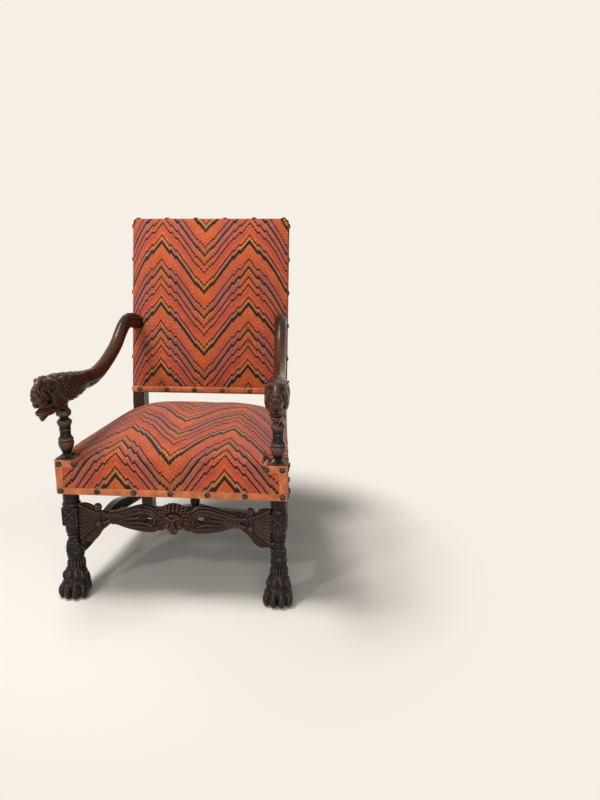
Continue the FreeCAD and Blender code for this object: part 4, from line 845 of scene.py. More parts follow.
def makeBack():
    bm = bmesh.new()
    bmesh.ops.create_grid(bm, x_segments=44, y_segments=50, size=1)
    middle = (backPad["low"] + backPad["high"]) / 2
    halfTall = (backPad["high"] - backPad["low"]) / 2 - 4
    for vertex in bm.verts:
        x = backPad["half"] * crowded(vertex.co.x)
        along = middle + halfTall * crowded(vertex.co.y)
        vertex.co = (x, backDepth(x, along), along)
    edges = openEdges(bm)
    low, high = middle - halfTall, middle + halfTall
    for out, depth in ((1.7, -2.3), (3.2, 0.2), (4, 4), (4, 12), (4, 21), (4, backPad["wrap"])):
        verts, edges = pulledOut(bm, edges)
        for vertex in verts:
            spot = vertex.co
            if abs(spot.x) > backPad["half"] - 0.5:
                spot.x = (backPad["half"] + out) * sideOf(spot.x)
            if spot.z < low + 0.5:
                spot.z = low - out
            if spot.z > high - 0.5:
                spot.z = high + out * 1.6
            spot.y = depth
    # The padding rounds the top corners
    for vertex in bm.verts:
        x, z = abs(vertex.co.x) - backPad["cornerX"], vertex.co.z - backPad["cornerZ"]
        away = (x * x + z * z) ** 0.5
        if x > 0 and z > 0 and away > backPad["cornerRound"]:
            share = backPad["cornerRound"] / away
            vertex.co.x = (backPad["cornerX"] + x * share) * sideOf(vertex.co.x)
            vertex.co.z = backPad["cornerZ"] + z * share
    bmesh.ops.recalc_face_normals(bm, faces=bm.faces)
    front = min(bm.faces, key=lambda face: face.calc_center_median().y)
    if front.normal.y > 0:
        bmesh.ops.reverse_faces(bm, faces=bm.faces)
    setUv(bm, backUv)
    mesh = toMesh(bm, "backSkin")
    lumpy(mesh, backPad["lumps"], backPad["lumpWidth"], lambda place: place.y > -6)
    mesh.transform(Matrix.Scale(0.001, 4))
    mesh = puffed(mesh, lambda spots: spots[:, 1] > backPad["tackedFrom"], backPad["puff"])
    mesh.transform(Matrix.Scale(1000, 4))
    cover = finishPiece("backCover", mesh, flameCloth, "flame_stitch_cloth", ["back_cover"], smooth=60,
                        place=toFrame @ toBack)
    thicken(cover, "cloth thickness", 1.4, -1)

    bm = bmesh.new()
    bmesh.ops.create_grid(bm, x_segments=14, y_segments=16, size=1)
    for vertex in bm.verts:
        x, along = vertex.co.x * backPad["padHalf"], backPad["middle"] + vertex.co.y * backPad["padTall"]
        vertex.co = (x, backDepth(x, along) + backPad["padDrop"], along)
    for vertex in pulledOut(bm, openEdges(bm))[0]:
        vertex.co.y = backPad["padRear"]
    bmesh.ops.holes_fill(bm, edges=openEdges(bm), sides=0)
    bmesh.ops.recalc_face_normals(bm, faces=bm.faces)
    pad = finishPiece("backStuffing", bm, horsehair, "stuffing", ["back_stuffing"], place=toFrame @ toBack)


makeBack()
print("back is covered")

# Braid and dome nails
trim = {
    "width": 22, "thick": 1.4, "ease": 0.5, "front": -29.5, "backLow": 37.5, "nail": 9.4, "nailHeight": 5.2,
    "nailTilt": 5,
    # Rows of nails: the seat's lower row, its nails at the leg blocks, and the back's rows
    "seatRow": 351.8, "blockRow": 437.55, "blockX": 338.5, "blockInner": 290.9,
    "backRow": 48.2, "backTop": 691.2, "backSide": 296.2, "backHeights": (48.1, 664.5),
}
# Jute webbing, in millimetres
webbing = {"width": 48, "thick": 1.3}


def makeSeatBraid():
    bm = bmesh.new()
    w, t = trim["width"], trim["thick"]
    front = trim["front"]
    low, top = seat["low"] + w / 2, seat["blockTop"] + 0.5
    # Along the front and along the rear
    addBand(bm, (-352, front, low), (352, front, low), (0, -1, 0), w, t)
    addBand(bm, (248, 576, low), (-248, 576, low), (0, 1, 0), w, t)
    for side in (-1, 1):
        edge = side * 351.6
        x = side * (351 - w / 2)
        # Up the leg block's front, then in along its upper edge
        addBand(bm, (x, front - 0.1, low + w / 2), (x, front - 0.1, top), (0, -1, 0), w, t)
        inner = (side * (351 - w), front - 0.2, top - w / 2)
        addBand(bm, inner, (side * 290.5, front - 0.2, top - w / 2), (0, -1, 0), w, t)
        # Round the corner, back along the side rail, and up the block's outer face
        addBand(bm, (edge, -28, low), (edge, 27, low), (side, 0, 0), w, t)
        addBand(bm, (edge, 25.5, low), (side * 296.8, 521, low), (side * 496, 55, 0), w, t)
        addBand(bm, (edge + side * 0.1, -28 + w / 2, low + w / 2), (edge + side * 0.1, -28 + w / 2, top),
                (side, 0, 0), w, t)
        # Over the block's top beside the cushion, and across it behind the arm support
        addBand(bm, (side * 284.3, -28.5, top + 1.2), (side * 284.3, 33, top + 1.2), (0, 0, 1), 14, t)
        addBand(bm, (side * 292, 32.5, top + 4.5), (side * 351, 32.5, top + 4.5), (0, -1, 0), 9, t)
    finishPiece("seatBraid", bm, braidCloth, "braid", ["seat_braid"])


def makeBackBraid():
    bm = bmesh.new()
    bmesh.ops.create_grid(bm, x_segments=48, y_segments=3, size=1)
    half = backPad["half"]
    for vertex in bm.verts:
        x, along = vertex.co.x * half, trim["backLow"] + (vertex.co.y + 1) / 2 * trim["width"]
        vertex.co = (x, backDepth(x, along) - 1.1, along)
    rim = half - 0.1
    ends = [edge for edge in openEdges(bm) if all(abs(vertex.co.x) > rim for vertex in edge.verts)]
    for out, depth in ((2.6, -2.6), (4.8, 1.5), (4.9, 29)):
        verts, edges = pulledOut(bm, ends)
        ends = [edge for edge in edges if all(abs(vertex.co.x) >= rim for vertex in edge.verts)
                and abs(edge.verts[0].co.z - edge.verts[1].co.z) > 1]
        for vertex in verts:
            vertex.co.x = (half + out) * sideOf(vertex.co.x)
            vertex.co.y = depth
    bmesh.ops.recalc_face_normals(bm, faces=bm.faces)
    setUv(bm, lambda face, point: (point.x + sideOf(point.x) * point.y,
                                   point.z - trim["backLow"] - trim["width"] / 2))
    strip = finishPiece("backBraid", bm, braidCloth, "braid", ["back_braid"], place=toFrame @ toBack)
    thicken(strip, "braid thickness", 1.3)

    # Two strips hide the tacked edges of the outside back
    bm = bmesh.new()
    for side in (-1, 1):
        addBand(bm, (side * 283, 57.5, 34), (side * 283, 45.2, 676), (0, 1, 0.02), 19, 1.3)
    finishPiece("outsideBackBraid", bm, braidCloth, "braid", place=toFrame @ toBack)


def nailMesh():
    r, h = trim["nail"], trim["nailHeight"]
    dome = roundedLine([(0, h), (r * 0.5, h), (r * 0.86, h * 0.72), (r, h * 0.3), (r, 0.25)], 3)
    bm = spun(dome + [(r * 0.93, 0), (r * 0.5, -0.4), (0, -0.4)], 18)
    return toMesh(bm, "nail")


def addNail(bm, mesh, spot, out):
    turn = Vector(out).to_track_quat("Z", "Y").to_matrix().to_4x4()
    count = len(bm.verts)
    bm.from_mesh(mesh)
    bm.verts.ensure_lookup_table()
    # Hammered by hand, no head sits quite square
    tilt = Matrix.Rotation(radians(trim["nailTilt"]) * noise.noise(Vector(spot) * 0.37), 4, "X")
    bmesh.ops.transform(bm, matrix=Matrix.Translation(spot) @ turn @ tilt, verts=bm.verts[count:])


def makeNails():
    mesh = nailMesh()
    bm = bmesh.new()
    z, high = trim["seatRow"], trim["blockRow"]
    # Along the front, at the leg blocks, along the side rails and along the rear
    for step in range(-3, 4):
        addNail(bm, mesh, (trim["blockX"] * step / 3, -30.2, z), (0, -1, 0))
    for side in (-1, 1):
        for x in (trim["blockX"], trim["blockInner"]):
            addNail(bm, mesh, (side * x, -30.6, high), (0, -1, 0))
        addNail(bm, mesh, (side * 352.4, 16.5, high), (side, 0, 0))
        addNail(bm, mesh, (side * 352.4, -15, z), (side, 0, 0))
        addNail(bm, mesh, (side * 283, 28, 452), (0, -0.5, 1))
        for y in np.linspace(26, 504, 6).tolist():
            addNail(bm, mesh, (side * (railX(y) + 3.4), y, z), (side * 496, 55, 0))
    for x in np.linspace(-231, 231, 5).tolist():
        addNail(bm, mesh, (x, 576.6, z), (0, 1, 0))
    finishPiece("seatNails", bm, brass, "nail_metal", ["seat_nails"])

    # Along the lower braid and the top of the back, and up its sides
    bm = bmesh.new()
    for share in np.linspace(-1, 1, 6).tolist():
        x = 266 * share
        addNail(bm, mesh, (x, backDepth(x, 48) - 1.9, trim["backRow"]), (0, -1, 0))
        addNail(bm, mesh, (276 * share, 7, trim["backTop"]), (0, 0, 1))
    for side in (-1, 1):
        for along in np.linspace(*trim["backHeights"], 6).tolist():
            addNail(bm, mesh, (side * trim["backSide"], 11.2, along), (side, 0, 0))
    finishPiece("backNails", bm, brass, "nail_metal", ["back_nails"], place=toFrame @ toBack)
    bpy.data.meshes.remove(mesh)


def flatSheet(points, z, cuts=12):
    # A flat cut of cloth from its outline, crossed by fold lines so that it can sag
    bm = bmesh.new()
    bm.faces.new([bm.verts.new((x, y, z)) for x, y in points])
    xs = [point[0] for point in points]
    ys = [point[1] for point in points]
    for axis, low, high in ((0, min(xs), max(xs)), (1, min(ys), max(ys))):
        for step in range(1, cuts):
            spot, normal = [0, 0, z], [0, 0, 0]
            spot[axis], normal[axis] = low + (high - low) * step / cuts, 1
            bmesh.ops.bisect_plane(bm, geom=bm.verts[:] + bm.edges[:] + bm.faces[:], plane_co=spot,
                                   plane_no=normal)
    bmesh.ops.recalc_face_normals(bm, faces=bm.faces)
    area = sum(face.calc_area() for face in bm.faces) / 1e6
    setUv(bm, lambda face, point: (point.x, point.y))
    return bm, area


def sheetPiece(name, bm, thick, *rest, **more):
    piece = finishPiece(name, bm, *rest, **more)
    thicken(piece, "cloth thickness", thick)
    return piece


def bothSides(right):
    return right + [(-x, y) for x, y in right[::-1]]


def makeCloths():
    # Tacked under the rails, it sags a little in the middle
    outline = bothSides([(294, -13), (294, 32), (335, 32), (284.5, 509), (246, 509), (246, 560)])
    bm, area = flatSheet(outline, 337.9)
    for vertex in bm.verts:
        across, deep = vertex.co.x / 290, (vertex.co.y - 262) / 240
        vertex.co.z -= 5 * max(0, 1 - across ** 2) * max(0, 1 - deep ** 2)
    dust = sheetPiece("dustCover", bm, 0.8, blackCotton, "dust_cloth", ["dust_cover"])

    # The canvas over the springs
    outline = bothSides([(287, -16), (287, 35.5), (337, 35.5), (284, 518), (247, 518), (247, 563)])
    bm, area = flatSheet(outline, 445.1)
    canvas = sheetPiece("springCanvas", bm, 1.0, linen, "canvas", ["spring_canvas"])

    # Webbing under the springs, in both directions
    bm = bmesh.new()
    for x in (-172, -57, 57, 172):
        addBand(bm, (x, -20, 341), (x, 567, 341), (0, 0, 1), *webbing.values())
    for share in (0.125, 0.36, 0.595, 0.83):
        y = -26 + share * 599
        reach = railX(y + 24) - 16
        addBand(bm, (-reach, y, 339.5), (reach, y, 339.5), (0, 0, 1), *webbing.values())
    finishPiece("seatWebbing", bm, jute, "jute_webbing", ["seat_webbing"])

    # Webbing and canvas behind the back's stuffing
    bm = bmesh.new()
    for x in (-137, 0, 137):
        addBand(bm, (x, 29, 60), (x, 29, 650), (0, 1, 0), *webbing.values())
    for share in (0.25, 0.5, 0.75):
        z = 60 + 590 * share
        addBand(bm, (-249, 30.6, z), (249, 30.6, z), (0, 1, 0), *webbing.values())
    finishPiece("backWebbing", bm, jute, "jute_webbing", ["back_webbing"], place=toFrame @ toBack)

    bm, _ = flatSheet([(-279, 53.5), (279, 53.5), (279, 671), (-279, 671)], 0)
    upright = Matrix.Rotation(pi / 2, 4, "X")
    bmesh.ops.transform(bm, matrix=Matrix.Translation((0, -0.9, 0)) @ upright, verts=bm.verts)
    canvas = sheetPiece("backCanvas", bm, 0.8, linen, "canvas", ["back_canvas"], place=toFrame @ toBack)

    # The outside back takes its place from the box of its own part, just inside the edges
    low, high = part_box("outside_back")
    rear = [(low.y - legY) * 1000 + 0.8, (high.y - legY) * 1000 - 1.2]
    heights = [low.z * 1000 + 0.6, high.z * 1000 - 0.6]
    tall = ((rear[1] - rear[0]) ** 2 + (heights[1] - heights[0]) ** 2) ** 0.5
    bm, _ = flatSheet([(-293.4, 0), (293.4, 0), (293.4, tall), (-293.4, tall)], 0, 16)
    # Tacked round its edge, it dips a little between the posts
    for vertex in bm.verts:
        across, up = vertex.co.x / 250, (vertex.co.y - tall / 2) / (tall / 2 - 40)
        vertex.co.z += 3 * max(0, 1 - across ** 2) * max(0, 1 - up ** 2)
    lean = atan2(rear[1] - rear[0], heights[1] - heights[0])
    place = Matrix.Translation((0, rear[0], heights[0])) @ Matrix.Rotation(pi / 2 - lean, 4, "X")
    bmesh.ops.transform(bm, matrix=place, verts=bm.verts)
    cloth = sheetPiece("outsideBack", bm, 1.0, backCloth, "plain_cloth", ["outside_back"])


makeSeatBraid()
makeBackBraid()
makeNails()
makeCloths()
print("braid, nails and plain cloths are on")

legX = 323  # from the chair's middle to the middle of a front leg


def smoothPath(points, count):
    # A smooth line that passes through the points, in even steps
    line = np.array(points, float)
    line = np.vstack([2 * line[0] - line[1], line, 2 * line[-1] - line[-2]])
    place = np.linspace(0, len(points) - 1.0001, count)
    first = place.astype(int)
    t = (place - first)[:, None]
    a, b, c, d = (line[first + step] for step in range(4))
    curve = (2 * a - 5 * b + 4 * c - d) * t ** 2 + (3 * b - a - 3 * c + d) * t ** 3
    return 0.5 * (2 * b + (c - a) * t + curve)


def addLump(bm, centre, radii, tilt=(0, 0, 0)):
    aboutX, aboutY, aboutZ = (Matrix.Rotation(radians(angle), 4, axis) for angle, axis in zip(tilt, "XYZ"))
    turn = aboutZ @ aboutY @ aboutX
    bmesh.ops.create_uvsphere(bm, u_segments=24, v_segments=14, radius=1,
                              matrix=Matrix.Translation(centre) @ turn @ Matrix.Diagonal((*radii, 1)))


def strokeMesh(strokes):
    # Each stroke is a line of points and the radius of the wood at each
    data = bpy.data.curves.new("strokes", "CURVE")
    data.dimensions = "3D"
    data.bevel_depth = 1
    data.bevel_resolution = 4
    data.resolution_u = 5
    data.use_fill_caps = True
    for points, radii in strokes:
        spline = data.splines.new("NURBS")
        spline.points.add(len(points) - 1)
        for spot, point, radius in zip(spline.points, points, radii):
            spot.co = (*point, 1)
            spot.radius = radius
        spline.order_u = 3
        spline.use_endpoint_u = True
    holder = bpy.data.objects.new("strokes", data)
    mesh = bpy.data.meshes.new_from_object(holder)
    bpy.data.objects.remove(holder)
    bpy.data.curves.remove(data)
    return mesh


def melted(mesh, voxel):
    piece = ridable(mesh)
    melt = piece.modifiers.new("melt", "REMESH")
    melt.mode = "VOXEL"
    melt.voxel_size = voxel
    return evaluated(piece)


def blended(lumps=(), strokes=(), extra=(), voxel=1.3):
    # Melts rounded lumps, tapered strokes and turned or squared blanks into one block of wood
    bm = bmesh.new()
    for lump in lumps:
        addLump(bm, *lump)
    if strokes:
        mesh = strokeMesh(strokes)
        bm.from_mesh(mesh)
        bpy.data.meshes.remove(mesh)
    for blank in extra:
        bm.from_mesh(blank)
        bpy.data.meshes.remove(blank)
    bmesh.ops.recalc_face_normals(bm, faces=bm.faces)
    mesh = toMesh(bm, "blank")
    return melted(mesh, voxel)


def hollowed(mesh, cutter):
    piece, tool = ridable(mesh, "blank"), ridable(cutter, "gouge")
    cut = piece.modifiers.new("gouge", "BOOLEAN")
    cut.operation = "DIFFERENCE"
    cut.solver = "MANIFOLD"
    cut.object = tool
    made = evaluated(piece)
    bpy.data.objects.remove(tool)
    bpy.data.meshes.remove(cutter)
    return made


def chiselled(mesh, cuts):
    # Each cut is a line of points, its half width and its depth; a negative depth raises a ridge
    spots, normals = coords(mesh), normalsOf(mesh)
    moved = np.zeros(len(spots))
    for points, width, depth in cuts:
        path = np.array(points, float)
        length = np.linalg.norm(np.diff(path, axis=0), axis=1).sum()
        line = smoothPath(points, max(6, int(length / 0.8)))
        near = np.nonzero(((spots > line.min(0) - width) & (spots < line.max(0) + width)).all(1))[0]
        if not len(near):
            continue
        away = np.full(len(near), 1e9)
        for start in range(0, len(line), 64):
            part = line[start:start + 64]
            away = np.minimum(away, np.linalg.norm(spots[near][:, None, :] - part[None, :, :], axis=2).min(1))
        share = np.clip(1 - away / width, 0, 1)
        share = share * share * (3 - 2 * share)
        deeper = -depth * share
        pick = np.abs(deeper) > np.abs(moved[near])
        moved[near[pick]] = deeper[pick]
    return moveTo(mesh, spots + normals * moved[:, None])


def softened(mesh, rounds=2, factor=0.5):
    piece = ridable(mesh)
    smooth = piece.modifiers.new("sanded", "SMOOTH")
    smooth.factor = factor
    smooth.iterations = rounds
    return evaluated(piece)


def markRelief(mesh, fine=0.55, coarse=3.2):
    # Raised places are positive and hollows negative, so that the finish can lighten raised places as rubbed
    # wear and painted highlight, and darken hollows as stain and painted shade
    spots, normals = coords(mesh), normalsOf(mesh)
    pairs = np.zeros(len(mesh.edges) * 2, np.int32)
    mesh.edges.foreach_get("vertices", pairs)
    a, b = pairs[0::2], pairs[1::2]
    count = np.bincount(np.concatenate([a, b]), minlength=len(spots))[:, None].clip(1)
    smooth, relief = spots.copy(), np.zeros(len(spots))
    for step in range(1, 41):
        total = np.stack([np.bincount(a, smooth[b, i], len(spots)) + np.bincount(b, smooth[a, i], len(spots))
                          for i in range(3)], axis=1)
        smooth = total / count
        if step == 5:
            relief += 0.45 * np.clip(((spots - smooth) * normals).sum(1) / fine, -1, 1)
    relief += 0.75 * np.clip(((spots - smooth) * normals).sum(1) / coarse, -1, 1)
    layer = mesh.attributes.get("relief") or mesh.attributes.new("relief", "FLOAT", "POINT")
    layer.data.foreach_set("value", np.clip(relief, -1, 1).astype(np.float32))
    return mesh


def warmed(mesh, share):
    # Shows that much of the red brown wood through the stain, all over or at each point
    layer = mesh.attributes.new("handled", "FLOAT", "POINT")
    layer.data.foreach_set("value", np.full(len(mesh.vertices), share, np.float32))
    return mesh


def skinned(rings):
    # A closed skin over rings of points
    bm = bmesh.new()
    loops = []
    for points in rings:
        ring = [bm.verts.new(point) for point in points]
        loops.append([bm.edges.new((ring[i], ring[(i + 1) % len(ring)])) for i in range(len(ring))])
    for near, far in zip(loops, loops[1:]):
        bmesh.ops.bridge_loops(bm, edges=near + far)
    bmesh.ops.holes_fill(bm, edges=openEdges(bm), sides=0)
    bmesh.ops.recalc_face_normals(bm, faces=bm.faces)
    return bm


def both(make, names, material, nodeNames, **more):
    # The right-hand piece as made, and its mirror image on the left
    mesh = markRelief(make())
    other = mirroredMesh(mesh, names[1])
    for one, name, node in zip((mesh, other), names, nodeNames):
        finishPiece(name, one, material, "dark_oak", node, **more)


def pairsOf(items):
    # Adds the mirror image of each lump or stroke on the other side of the middle
    made = []
    for item in items:
        made.append(item)
        if isinstance(item[0][0], (int, float)):
            (w, y, z), *rest = item
            made.append(((-w, y, z), *rest[:1], *[(t[0], -t[1], -t[2]) for t in rest[1:]]))
        else:
            made.append(([(-w, y, z) for w, y, z in item[0]], *item[1:]))
    return made


# Arms with lion heads
armLine = {
    # The arm's middle from the head to the back: place, height, half height and half width
    "y": (-50, 0, 33, 72, 100, 123, 160, 194, 235, 274, 315, 355, 385, 408, 440, 468, 497, 530, 562, 584),
    "z": (670, 665, 663, 662, 663, 664, 662, 663, 673, 687, 706, 728, 749, 771, 797, 811, 813, 806, 799, 797),
    "tall": (47, 46, 44, 40, 35, 31, 30, 28, 26, 24, 23, 23, 23, 23, 24, 25, 26, 26, 25, 25),
    "wide": (35, 36, 35, 32, 27, 23.5, 21.5, 21, 21, 21, 21, 21, 21, 21, 21.5, 22, 22.5, 22.5, 22, 22),
    # How much of the stain hands have worn away at each y
    "handled": ((-150, 0.6), (-60, 0.4), (-30, 0.1), (130, 0.05), (175, 0.85), (380, 0.85), (440, 0.1)),
    # Where the arm lies across the chair, and how far it closes in for each millimetre back
    "x": -321.5, "inward": 0.0835,
}


def armSpot(y, angle, lift=0.0):
    # A point round the arm: angle 0 is its top and 90 its inner side, lift is how far out of the surface
    line = armLine
    z, tall, wide = (np.interp(y, line["y"], line[key]) for key in ("z", "tall", "wide"))
    rise = (np.interp(y + 6, line["y"], line["z"]) - np.interp(y - 6, line["y"], line["z"])) / 12
    long = (1 + rise * rise) ** 0.5
    a = radians(angle)
    reach = cos(a) * (tall + lift)
    return (sin(a) * (wide + lift), y - rise / long * reach, z + reach / long)


def maneLocks():
    # Rows of short wavy locks lie back over the neck, each row covering the roots of the next
    locks = []
    for row, y in enumerate((-47, -36, -24, -11, 3, 17, 31, 46, 61, 76, 90)):
        size = float(np.interp(row, (0, 5, 10), (4.4, 4.0, 3.2)))
        number = 20 if row < 7 else 17
        for step in range(number):
            angle = -180 + (step + 0.5 * (row % 2)) * 360 / number
            if y > -20 and abs(angle) > 156:
                continue
            bend = 8 * sin(step * 2.3 + row * 1.7)
            reach = 21 + 4 * sin(step * 1.9 + row)
            locks.append(([armSpot(y, angle, -3), armSpot(y + reach * 0.3, angle + bend, -1.6),
                           armSpot(y + reach * 0.65, angle - bend * 0.5, -1.4),
                           armSpot(y + reach, angle + bend * 0.7, -2.6)],
                          [size * 0.7, size, size * 0.85, size * 0.3]))
    return locks


def armMesh():
    ends = armLine["y"][0], armLine["y"][-1]
    rings = [[armSpot(y, angle) for angle in range(0, 360, 12)] for y in np.linspace(*ends, 56)]
    shaft = toMesh(skinned(rings), "shaft")

    # Skull, face, muzzle, throat, jaw and nose, then lips, brows and cheeks
    lumps = [((0, -52, 672), (33, 52, 45)), ((0, -86, 687), (25, 37, 29)), ((0, -109, 663), (20.5, 38, 24)),
             ((0, -52, 638), (23, 38, 26)), ((0, -82, 616), (18, 38, 13)), ((0, -110, 616), (17, 24, 9)),
             ((0, -141, 677), (10.5, 9, 8))]
    lumps += pairsOf([((9, -119, 646), (10, 18, 13)), ((12, -94, 706), (14, 16, 9), (0, 8, 0)),
                      ((22, -62, 657), (14, 34, 31)), ((17, -42, 642), (16, 38, 26)),
                      ((8, -132, 662), (9, 12, 12))])
    strokes = [([(0, -86, 713), (0, -106, 712), (0, -127, 700), (0, -142, 684)], [9, 9, 9.5, 8]),
               ([(0, -108, 612), (0, -116, 602), (0, -115, 593)], [14, 9.5, 3])]
    strokes += pairsOf([([(3, -111, 706), (12, -108, 709), (21, -95, 708), (30, -74, 700)],
                         [6.5, 7, 6.5, 4])])
    base = softened(blended(lumps, strokes, voxel=1.6), 5, 0.5)
    base = blended(strokes=maneLocks(), extra=[shaft, base], voxel=1.5)
    gape = [([(x, -80, 636), (x, -108, 633), (x, -134, 631), (x, -168, 630)], [1.2, 2.4, 3.2, 5])
            for x in (-22, -11, 0, 11, 22)]
    base = hollowed(base, blended(strokes=gape, voxel=1.4))

    # Laid on after the mouth is cut: lips, teeth, eyes, folds of the muzzle and the leaf at the back
    late = [([(-19, -88, 624), (-16, -116, 621.5), (-6, -131, 620), (6, -131, 620), (16, -116, 621.5),
              (19, -88, 624)],
             [2, 3.2, 3.6, 3.6, 3.2, 2]),
            ([(-15, -92, 629), (-12, -114, 627.5), (-4, -123, 627), (4, -123, 627), (12, -114, 627.5),
              (15, -92, 629)],
             [1.6, 2.2, 2.4, 2.4, 2.2, 1.6]), ([(0, -70, 632), (0, -92, 630), (0, -110, 627)], [14, 12, 7])]
    late += pairsOf([
        ([(24, -82, 641), (21, -106, 638), (13, -126, 636), (4, -135, 638)], [2, 3.4, 3.4, 2.6]),
        ([(9, -109, 699), (14, -108, 704), (22, -98, 702), (28, -82, 695)], [2, 2.8, 2.8, 1.6]),
        ([(9, -112, 694), (14, -112, 689), (22, -103, 688), (28, -86, 692)], [2, 2.6, 2.6, 1.6]),
        ([(6, -135, 698), (9, -139, 688), (13, -136, 676), (16, -127, 664)], [1.8, 2.8, 2.8, 2]),
        ([(12, -128, 690), (16, -130, 680), (20, -122, 668), (21, -112, 656)], [1.8, 2.6, 2.6, 1.8]),
        ([(22, -112, 682), (25, -101, 670), (26, -88, 655), (25, -78, 645)], [2, 3, 3, 2]),
        ([(6, -149, 679), (8.5, -146, 674), (7.5, -142, 669)], [2.2, 3, 2.2]),
        ([(29, -66, 706), (33, -56, 710), (32, -44, 706)], [3, 5, 3])])
    lumps = pairsOf([((17.5, -101, 696.5), (6.6, 6.6, 5.6))])
    for angle in (-62, -38, -13, 13, 38, 62):
        tip = 452 + 0.42 * abs(angle)
        late.append(([armSpot(578, angle * 0.7, -1.5), armSpot(540, angle, -0.4),
                      armSpot(505, angle * 1.05, -0.4), armSpot(478, angle, -1),
                      armSpot(tip, angle * 0.8, -2.6)], [4.5, 4.6, 4.8, 4.2, 2]))
    whole = softened(blended(lumps, late, [base], 1.52), 1, 0.5)

    cuts = [([armSpot(-50, angle, 0) for angle in range(-128, 129, 16)], 4.5, 3.0)]
    cuts += [([(0, -96, 724), (0, -116, 722), (0, -132, 714)], 3, 2.5)]
    # Wrinkles across the bridge of the nose
    cuts += [([(-10, y + 2, z), (0, y, z + 2.5), (10, y + 2, z)], 2, 1.7)
             for y, z in ((-137, 706), (-144, 698), (-149, 690))]
    cuts += pairsOf([
        ([(8, -114, 697), (14, -114, 697), (24, -102, 695), (30, -84, 691)], 2.2, 2.2),
        ([(17.5, -109, 697), (18.5, -109, 696)], 2.8, 2.8),
        ([(4.5, -153, 675), (6, -152, 673)], 3.2, 4.0),
        ([(8, -145, 660), (8.5, -145, 659)], 1.8, 1.8), ([(13, -140, 662), (13.5, -140, 661)], 1.8, 1.8),
        ([(12, -140, 652), (12.5, -140, 651)], 1.8, 1.8), ([(18, -130, 656), (18.5, -130, 655)], 1.8, 1.8),
        ([(1, -147, 668), (1, -145, 652), (1, -141, 640)], 1.6, 1.8),
        ([(9, -100, 722), (19, -98, 721), (29, -84, 713)], 2.4, 2.2),
        ([(7, -84, 724), (17, -80, 722), (28, -70, 715)], 2.4, 2.2),
        ([(29, -52, 712), (33, -46, 708), (32, -40, 703)], 2.4, 2.4)])
    # Flutes between the leaves of the beard
    cuts += [([(w, -128 + abs(w), 607), (w * 0.8, -120 + abs(w), 595)], 1.5, 1.4)
             for w in (-10, -5, 0, 5, 10)]
    cuts += pairsOf([([(12 + k, -108 + k * 14, 600 + k * 2), (15 + k, -96 + k * 14, 608 + k * 3)], 1.6, 1.6)
                     for k in range(4)])
    for row, y in enumerate((-42, -30, -17, -4, 10, 24, 38, 53, 68, 83)):
        for step in range(34):
            angle = -180 + (step + 0.3 * (row % 3)) * 360 / 34
            if abs(angle) < 154 or y < -20:
                cuts.append(([armSpot(y, angle, 2),
                              armSpot(y + 8, angle + 4 * sin(step * 2.3 + row * 1.7), 3),
                              armSpot(y + 15, angle, 2)], 1.5, 1.1))
    # Veins between the lobes of the leaf at the back
    cuts += [([armSpot(578, angle * 0.8, 1), armSpot(540, angle, 2), armSpot(500, angle * 1.05, 2),
               armSpot(474, angle, 1)], 3.0, 3.2) for angle in (-74, -50, -26, 0, 26, 50, 74)]
    cuts += [([armSpot(y, angle - 9, 3), armSpot(y - 7, angle, 3), armSpot(y, angle + 9, 3)], 1.5, 1.6)
             for y in (490, 506, 522, 538, 554) for angle in (-62, -38, -13, 13, 38, 62)]
    chiselled(whole, cuts)
    spots = coords(whole)
    warmed(whole, np.interp(spots[:, 1], *zip(*armLine["handled"])))
    spots[:, 0] += armLine["x"] + armLine["inward"] * spots[:, 1]
    return moveTo(whole, spots)


both(armMesh, ("armRight", "armLeft"), oakDeep, (["arm_right"], ["arm_left"]), smooth=0)
print("arms are carved")

# Radius and height down the turned arm supports
supportLine = ((0, 452), (13, 452), (13, 461), (13.5, 466), (15.6, 471.6), (18.7, 478.6), (21.5, 485.5),
               (23.1, 493), (23.3, 498), (22.3, 502), (20.6, 503.6), (22.2, 505.6), (22.6, 508.5),
               (21.4, 512), (18.4, 515.5), (16.4, 519), (16, 528), (16.3, 536), (17.4, 537.2), (17.4, 539.2),
               (16.5, 540.4), (16.9, 547), (17.6, 549.5), (19.2, 552), (19.4, 554.5), (21.2, 557),
               (22.3, 562.5), (20.5, 566.5), (16, 571), (12.6, 573.5), (12.2, 575.5), (15.5, 579), (21, 583),
               (24, 588.5), (23.6, 594), (20, 600), (15.5, 605), (14, 612), (18, 630), (0, 633))

# The plate under each arm support
plinth = {
    "x": -321.2, "y": 2,  # its middle
    # Half width and height of each ring, and a ring's corners, which are cut off a little
    "rings": ((0.5, 450.2), (28.6, 450.2), (28.8, 452.6), (25, 454), (20.5, 456.2), (16.5, 459),
              (13.4, 462.5), (12, 464)),
    "corners": ((-1, -0.96), (-0.96, -1), (0.96, -1), (1, -0.96), (1, 0.96), (0.96, 1), (-0.96, 1),
                (-1, 0.96)),
}


def plinthMesh():
    # The flared square plate under the turning, on top of the leg's block
    bm = skinned([[(x * half + plinth["x"], y * half + plinth["y"], z) for x, y in plinth["corners"]]
                  for half, z in plinth["rings"]])
    bmesh.ops.subdivide_edges(bm, edges=bm.edges[:], cuts=3, use_grid_fill=True)
    return toMesh(bm, "plinth")


